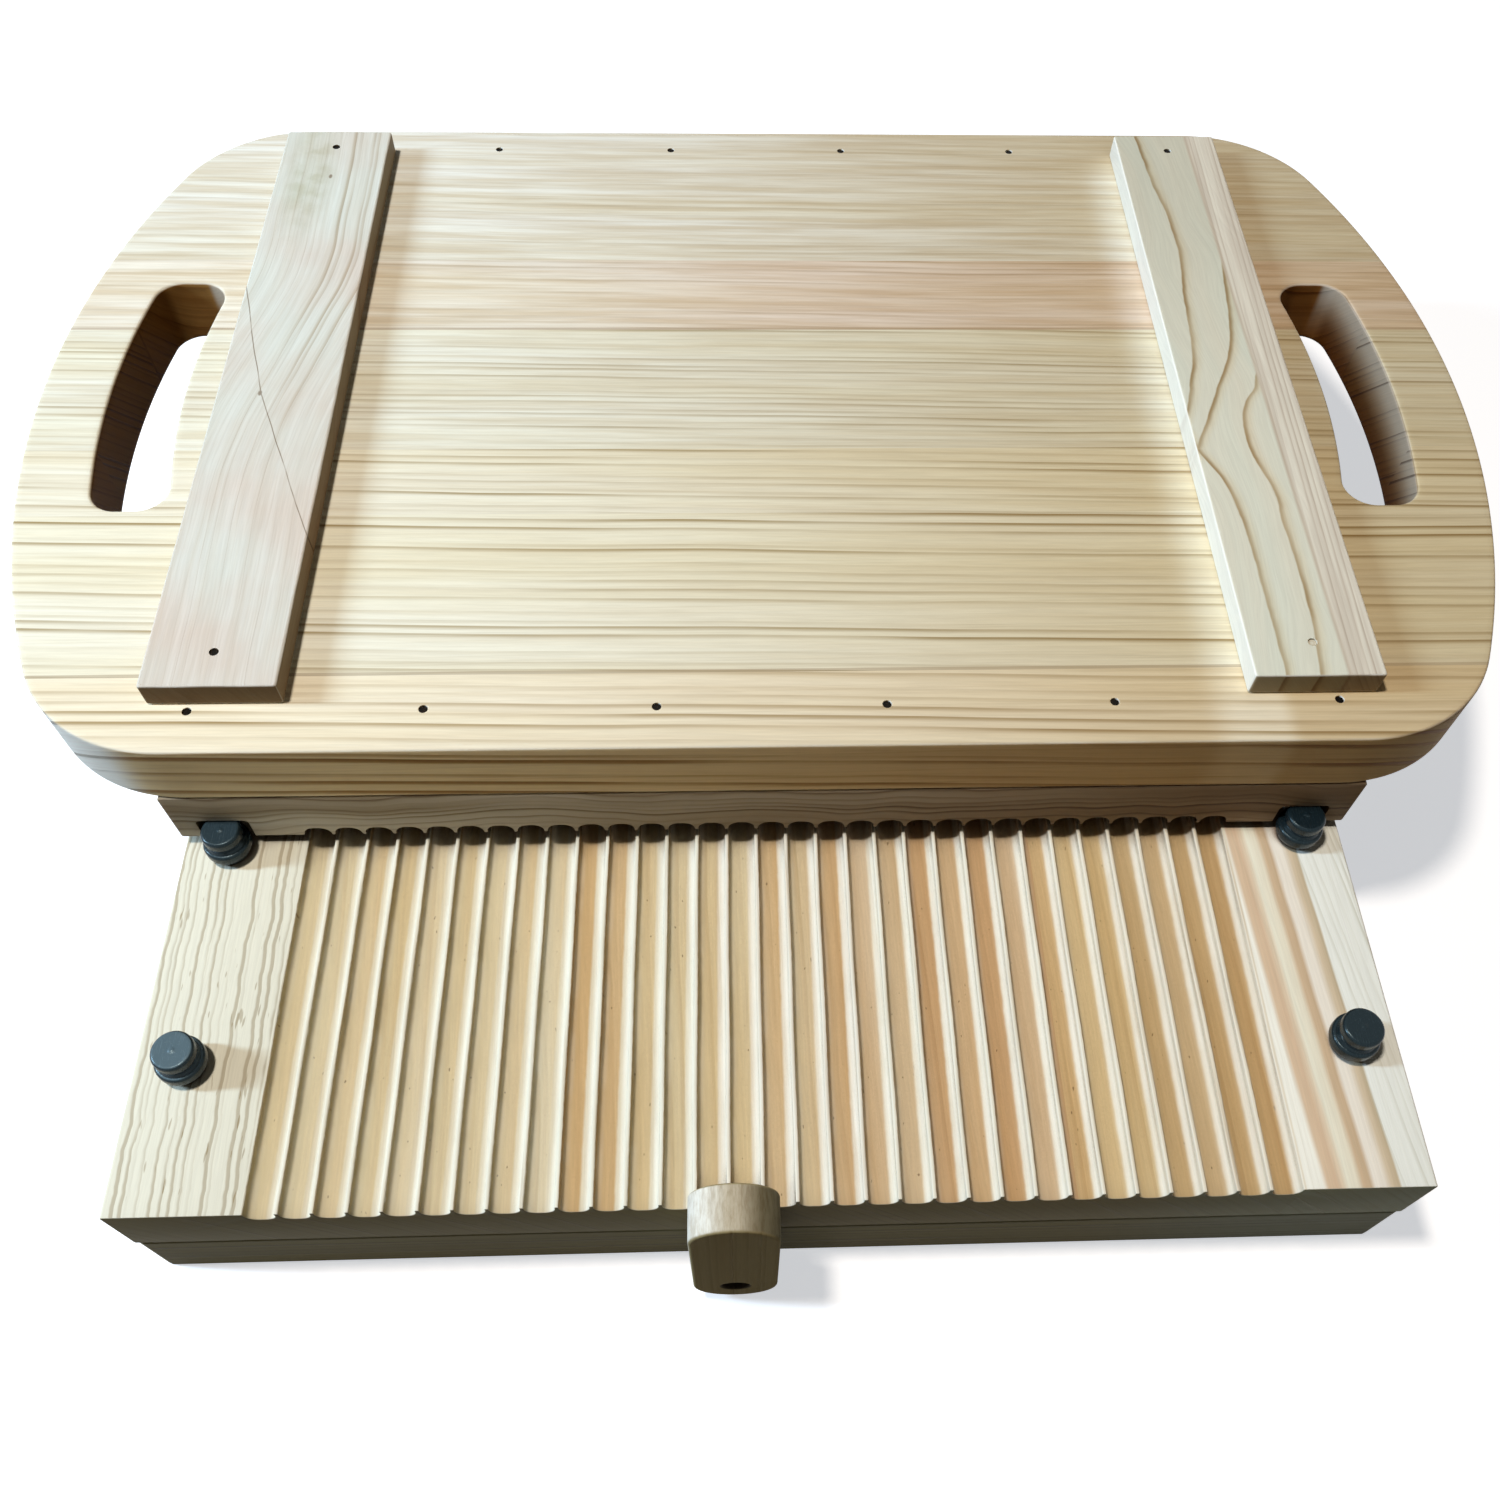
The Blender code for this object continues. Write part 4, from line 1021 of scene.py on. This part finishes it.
batten_nails = [middle_of(f"batten_nail_{number}") for number in range(1, 5)]
for side, material, slot in (("left", grey_wood, "grey_batten"),
                             ("right", cream_wood, "cream_batten")):
    low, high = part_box(f"batten_{side}")
    size, middle = high - low, (low + high) / 2
    outline = box_outline(size.x, size.y, BATTEN_CORNER)
    stacks = [board_rows(outline, size.z, BATTEN_EDGE, BATTEN_BAND)]
    stacks += [nail_rows(place - middle, size.z) for place in batten_nails
               if low.x < place.x < high.x]
    home = Matrix.Translation((middle.x, middle.y, low.z))
    add_board(f"batten_{side}_planed", stacks, material, f"batten_{side}", home)

# %% [markdown]
# ## The grooved plates
# These are the heart of the press. A router bit cut 31 equal grooves: a narrow rounded crest, a
# short wall, a round corner and a flat floor. Each groove is the same line moved sideways, so the
# whole section is one array, and the plate is that section carried from front to back.
# A bit never runs quite true: the crests wander by a sixth of a millimetre, sin(2 pi y / length),
# each crest with its own phase. Four rows of points round each end off a little.

# %% Plate sections
GROOVES, GROOVE_WIDTH = 31, 8.3 * MM
LOWER_DEPTH, UPPER_DEPTH = 5 * MM, 4 * MM
GROOVE_CORNER, CREST_RADIUS, PLATE_EDGE = 3.4 * MM, 0.45 * MM, 0.8 * MM
CHANNEL_WIDTH, CHANNEL_DEPTH, CHANNEL_CORNER = 16 * MM, 9.3 * MM, 1.6 * MM
# How far a crest wanders sideways and dips, over which length, and how much further its
# neighbour is in that wave
CREST_WANDER, WANDER_LENGTH, WANDER_STEP = 0.16 * MM, 61 * MM, 1.7
CREST_DIP, DIP_LENGTH, DIP_STEP = 0.1 * MM, 37 * MM, 2.3
END_ROUND = 0.35 * MM


def mirror_across(left):
    """A line's mirror image in X, so that left and right make one symmetrical cut."""
    return left[::-1] * (-1, 1)


def groove(depth):
    """Half a groove in a surface at height 0, from its crest to its floor, and its mirror image."""
    half = GROOVE_WIDTH / 2
    corner = min(GROOVE_CORNER, depth - CREST_RADIUS)
    left = np.concatenate((arc((-half - CREST_RADIUS, -CREST_RADIUS), CREST_RADIUS, 90, 0, 4),
                           arc((corner - half, corner - depth), corner, 180, 270, 8)))
    return np.concatenate((left, mirror_across(left)))


def channel():
    """A square channel for a row of glides, with small round inner corners."""
    half = CHANNEL_WIDTH / 2
    corner = (CHANNEL_CORNER - half, CHANNEL_CORNER - CHANNEL_DEPTH)
    left = np.concatenate(([(-half, 0)], arc(corner, CHANNEL_CORNER, 180, 270, 5)))
    return np.concatenate((left, mirror_across(left)))


def plate_section(cuts, width, thickness):
    """A plate's outline in X and Z, clockwise: left side, cut top, right side."""
    half = width / 2
    bottom, top = (PLATE_EDGE - half, PLATE_EDGE - thickness), (PLATE_EDGE - half, -PLATE_EDGE)
    left = np.concatenate((arc(bottom, PLATE_EDGE, 270, 180, 4), arc(top, PLATE_EDGE, 180, 90, 4)))
    return np.concatenate((left, cuts, mirror_across(left)))


def all_grooves(depth):
    """The groove repeated side by side: its points plus a shift of k times the pitch."""
    shift = (np.arange(GROOVES) - (GROOVES - 1) / 2) * PITCH
    line = groove(depth)
    return (line[None, :, :] + np.stack((shift, 0 * shift), axis=1)[:, None, :]).reshape(-1, 2)


print("points in one groove:", len(groove(LOWER_DEPTH)))

# %% Groove plates
def add_plate(name, section, upwards, node, material, rows):
    """The section carried along Y; crests wander by a small sine, and both ends are rounded."""
    low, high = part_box(node)
    length = high.y - low.y
    angle = np.radians(np.linspace(90, 0, 4))
    near, pulled = END_ROUND * (1 - np.sin(angle)), END_ROUND * (1 - np.cos(angle))
    along = np.concatenate((near, np.linspace(0, length, rows + 2)[1:-1], length - near[::-1]))
    pull = np.concatenate((pulled, np.zeros(rows), pulled[::-1]))
    crest = np.clip(1 + section[:, 1] / MM, 0, 1)
    crest = crest * (np.abs(section[:, 0]) < GROOVES * PITCH / 2)
    phase = np.round(section[:, 0] / PITCH - 0.5) * WANDER_STEP
    grid = []
    for y, distance in zip(along, pull):
        row = inset(section, -distance)
        row[:, 0] += CREST_WANDER * crest * np.sin(math.tau * y / WANDER_LENGTH + phase)
        dip = 0.5 + 0.5 * np.sin(math.tau * y / DIP_LENGTH + DIP_STEP * phase)
        row[:, 1] -= CREST_DIP * crest * dip
        grid.append(np.column_stack((row[:, 0], np.full(len(row), low.y + y), row[:, 1])))
    points = np.concatenate(grid)
    points[:, 2] = high.z + points[:, 2] if upwards else low.z - points[:, 2]
    count = len(section)
    faces, last = tube_faces(len(along), count), (len(along) - 1) * count
    lids = [tuple(range(count - 1, -1, -1)), tuple(range(last, last + count))]
    if not upwards:
        faces = faces[:, ::-1]
        lids = [lid[::-1] for lid in lids]
    add_piece(name, points, faces.tolist() + lids, material, node)


low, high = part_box("lower_groove_plate")
lower_section = plate_section(all_grooves(LOWER_DEPTH), high.x - low.x, high.z - low.z)
add_plate("lower_plate_routed", lower_section, upwards=True, node="lower_groove_plate",
          material=groove_pine, rows=48)
low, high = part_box("upper_groove_plate")
glide_x = middle_of("glide_right_1").x
cuts = np.concatenate((channel() - (glide_x, 0), all_grooves(UPPER_DEPTH),
                       channel() + (glide_x, 0)))
upper_section = plate_section(cuts, high.x - low.x, high.z - low.z)
add_plate("upper_plate_routed", upper_section, upwards=False, node="upper_groove_plate",
          material=upper_pine, rows=40)

# %% [markdown]
# ## The glides
# Ten plastic buttons carry the upper board. Each is a turned piece: a foot that widens to a ring,
# a neck, a cap with a rounded rim, and the small nub that the mould left in its middle.
# A turned piece is one line spun round: point = (r cos a, r sin a, height), for the whole grid at
# once. Its first and last points lie on the axis and close the ends.

# %% Glides
def turned(profile, steps):
    """A profile of radius and height, upwards, spun round Z; its ends lie on the axis."""
    angle = np.linspace(0, math.tau, steps, endpoint=False)
    radius, height = profile[1:-1, 0], profile[1:-1, 1]
    grid = np.stack((radius[:, None] * np.cos(angle), radius[:, None] * np.sin(angle),
                     height[:, None] + 0 * angle), axis=-1).reshape(-1, 3)
    poles = np.array([(0, 0, profile[0, 1]), (0, 0, profile[-1, 1])])
    points = np.concatenate((grid, poles))
    side = np.arange(steps)
    top = (len(radius) - 1) * steps
    following = (side + 1) % steps
    bottom_fan = np.column_stack((following, side, np.full(steps, len(grid))))
    top_fan = np.column_stack((top + side, top + following, np.full(steps, len(grid) + 1)))
    return points, tube_faces(len(radius), steps).tolist() + bottom_fan.tolist() + top_fan.tolist()


# Radii and heights in mm
PIN, PIN_LENGTH, PIN_TIP = 1.7, 14, 0.8
FOOT, RING, NECK, CAP, CAP_FLAT = 5.8, 7.2, 5.2, 6.1, 4.6
FOOT_BASE, RING_LOW, RING_HIGH, NECK_LOW, NECK_HIGH = 0.3, 3.6, 5.7, 8.1, 8.9
CAP_LOW, CAP_HIGH, CAP_TOP, GLIDE_HEIGHT = 9.5, 11.7, 12.8, 13
RIM, RING_ROUND, NECK_ROUND, CAP_ROUND = 0.3, 1.0, 0.4, 1.1
NUB = [(1.5, CAP_TOP), (1.1, CAP_TOP), (0.8, 12.86), (0.5, GLIDE_HEIGHT), (0, GLIDE_HEIGHT)]
glide_line = MM * np.concatenate((
    [(0, -PIN_LENGTH), (PIN_TIP, -PIN_LENGTH), (PIN, PIN - PIN_LENGTH), (PIN, FOOT_BASE),
     (FOOT - RIM, FOOT_BASE)],
    arc((FOOT - RIM, FOOT_BASE + RIM), RIM, -90, 0, 3),
    arc((RING - RING_ROUND, RING_LOW), RING_ROUND, -30, 0, 2),
    arc((RING - RING_ROUND, RING_HIGH), RING_ROUND, 0, 90, 6),
    arc((NECK + NECK_ROUND, NECK_LOW), NECK_ROUND, 270, 180, 3), [(NECK, NECK_HIGH)],
    arc((CAP - RIM, CAP_LOW), RIM, -90, 0, 3),
    arc((CAP - CAP_ROUND, CAP_HIGH), CAP_ROUND, 0, 90, 8),
    [(CAP_FLAT, CAP_TOP)], NUB))
glide_points, glide_faces = turned(glide_line, 64)
for side in ("left", "right"):
    for number in range(1, 6):
        node = f"glide_{side}_{number}"
        place = middle_of(node)
        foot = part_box(node)[1].z - GLIDE_HEIGHT * MM
        add_piece(f"{node}_turned", glide_points + (place.x, place.y, foot), glide_faces,
                  black_plastic, node)

# %% [markdown]
# ## The stop block
# A small turn button at the front keeps the upper board from sliding off. It is a bar with two
# round ends, standing up, and it turns about the one screw low down. The outline lies in the
# drawing plane first and is then stood up, so that its flat side faces the board's front edge.

# %% Stop block
STOP_EDGE, STOP_BAND = 1 * MM, 0.8 * MM
STOP_RADIUS, STOP_REACH = 12.5 * MM, 50 * MM
SCREW_BORE, SCREW_WELL, WELL_FLOOR, WELL_SOFT = 2.4 * MM, 4.1 * MM, 8.7 * MM, 0.5 * MM

low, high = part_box("stop_block")
stop_thickness = high.y - low.y
pivot = Vector((middle_of("stop_screw").x, high.y, middle_of("stop_screw").z))
stop_outline = np.concatenate((arc((0, STOP_REACH), STOP_RADIUS, 0, 180, 40),
                               arc((0, 0), STOP_RADIUS, 180, 360, 40)))


def stepped_hole(heights, radii, steps=40):
    """A hole in rows, clockwise, with its own radius at each height."""
    return np.stack([np.column_stack((ring((0, 0), radius, steps), np.full(steps, height)))
                     for height, radius in zip(heights, radii)])


well_heights = [0, 0, WELL_FLOOR, WELL_FLOOR, stop_thickness - WELL_SOFT,
                stop_thickness - WELL_SOFT / 3, stop_thickness, stop_thickness]
well_radii = [SCREW_BORE + WELL_SOFT, SCREW_BORE, SCREW_BORE, SCREW_WELL, SCREW_WELL,
              SCREW_WELL + WELL_SOFT / 3, SCREW_WELL + WELL_SOFT, SCREW_WELL + 2 * WELL_SOFT]
stacks = [board_rows(stop_outline, stop_thickness, STOP_EDGE, STOP_BAND, 5),
          stepped_hole(well_heights, well_radii)]
stand_up = Matrix.Translation(pivot) @ Matrix.Rotation(math.pi / 2, 4, "X")
add_board("stop_block_rounded", stacks, stop_wood, "stop_block", stand_up)

# %% [markdown]
# ## The screw
# The screw's head sits deep in its hole. It is a turned piece too, and the plain cross recess is
# pressed into the top of the head: the height drops where a point is near the X or the Y axis
# and close to the middle, and it drops smoothly, so the grid needs no extra edges.

# %% Stop screw
HEAD_RADIUS, HEAD_BASE, HEAD_HEIGHT = 3.6 * MM, 9.0 * MM, 2.4 * MM
SHANK_RADIUS, SHANK_TIP, TIP_LENGTH = 1.9 * MM, -20.3 * MM, 5 * MM
CROSS_HALF, CROSS_REACH, CROSS_DEPTH = 0.42 * MM, 2.0 * MM, 1.3 * MM
CROSS_SIDE_SOFT, CROSS_END_SOFT = 0.2 * MM, 0.5 * MM
head_angle = np.radians(np.linspace(0, 90, 26))
head_rise = HEAD_HEIGHT / 3 + HEAD_HEIGHT * 2 / 3 * np.sin(head_angle)
head_line = np.column_stack((HEAD_RADIUS * np.cos(head_angle), HEAD_BASE + head_rise))
head_line[-1, 0] = 0
screw_line = np.concatenate((
    [(0, SHANK_TIP), (SHANK_RADIUS / 2, SHANK_TIP + TIP_LENGTH / 2),
     (SHANK_RADIUS, SHANK_TIP + TIP_LENGTH), (SHANK_RADIUS, HEAD_BASE),
     (HEAD_RADIUS, HEAD_BASE)], head_line))
screw_points, screw_faces = turned(screw_line, 96)
flat = np.sort(np.abs(screw_points[:, :2]), axis=1)
inside = np.clip((CROSS_HALF - flat[:, 0]) / CROSS_SIDE_SOFT + 0.5, 0, 1)
inside *= np.clip((CROSS_REACH - flat[:, 1]) / CROSS_END_SOFT + 0.5, 0, 1)
on_head = screw_points[:, 2] > HEAD_BASE + HEAD_HEIGHT / 3
screw_points[:, 2] -= CROSS_DEPTH * inside * on_head
screw_points = screw_points[:, [0, 2, 1]] * (1, -1, 1) + tuple(pivot)
add_piece("stop_screw_turned", screw_points, screw_faces, dark_steel, "stop_screw")

# %% [markdown]
# ## Pieces that stay as they are
# The base board and the nails have the right shape already. They keep their own meshes and only
# get a finish: their first material slot is given the new material. The filled nail is the one
# whose middle lies to the right and in front.

# %% Finishes for the CAD pieces
kept = {"base_board": base_pine}
for name in frame["nodes"]:
    if name.startswith(("board_nail", "batten_nail")):
        kept[name] = dark_steel
    if name.startswith("batten_nail") and middle_of(name).x > 0 > middle_of(name).y:
        kept[name] = filler
for name, material in kept.items():
    node = frame["nodes"][name]
    node.data.materials.clear()
    node.data.materials.append(material)
print("dressed CAD pieces:", len(kept))
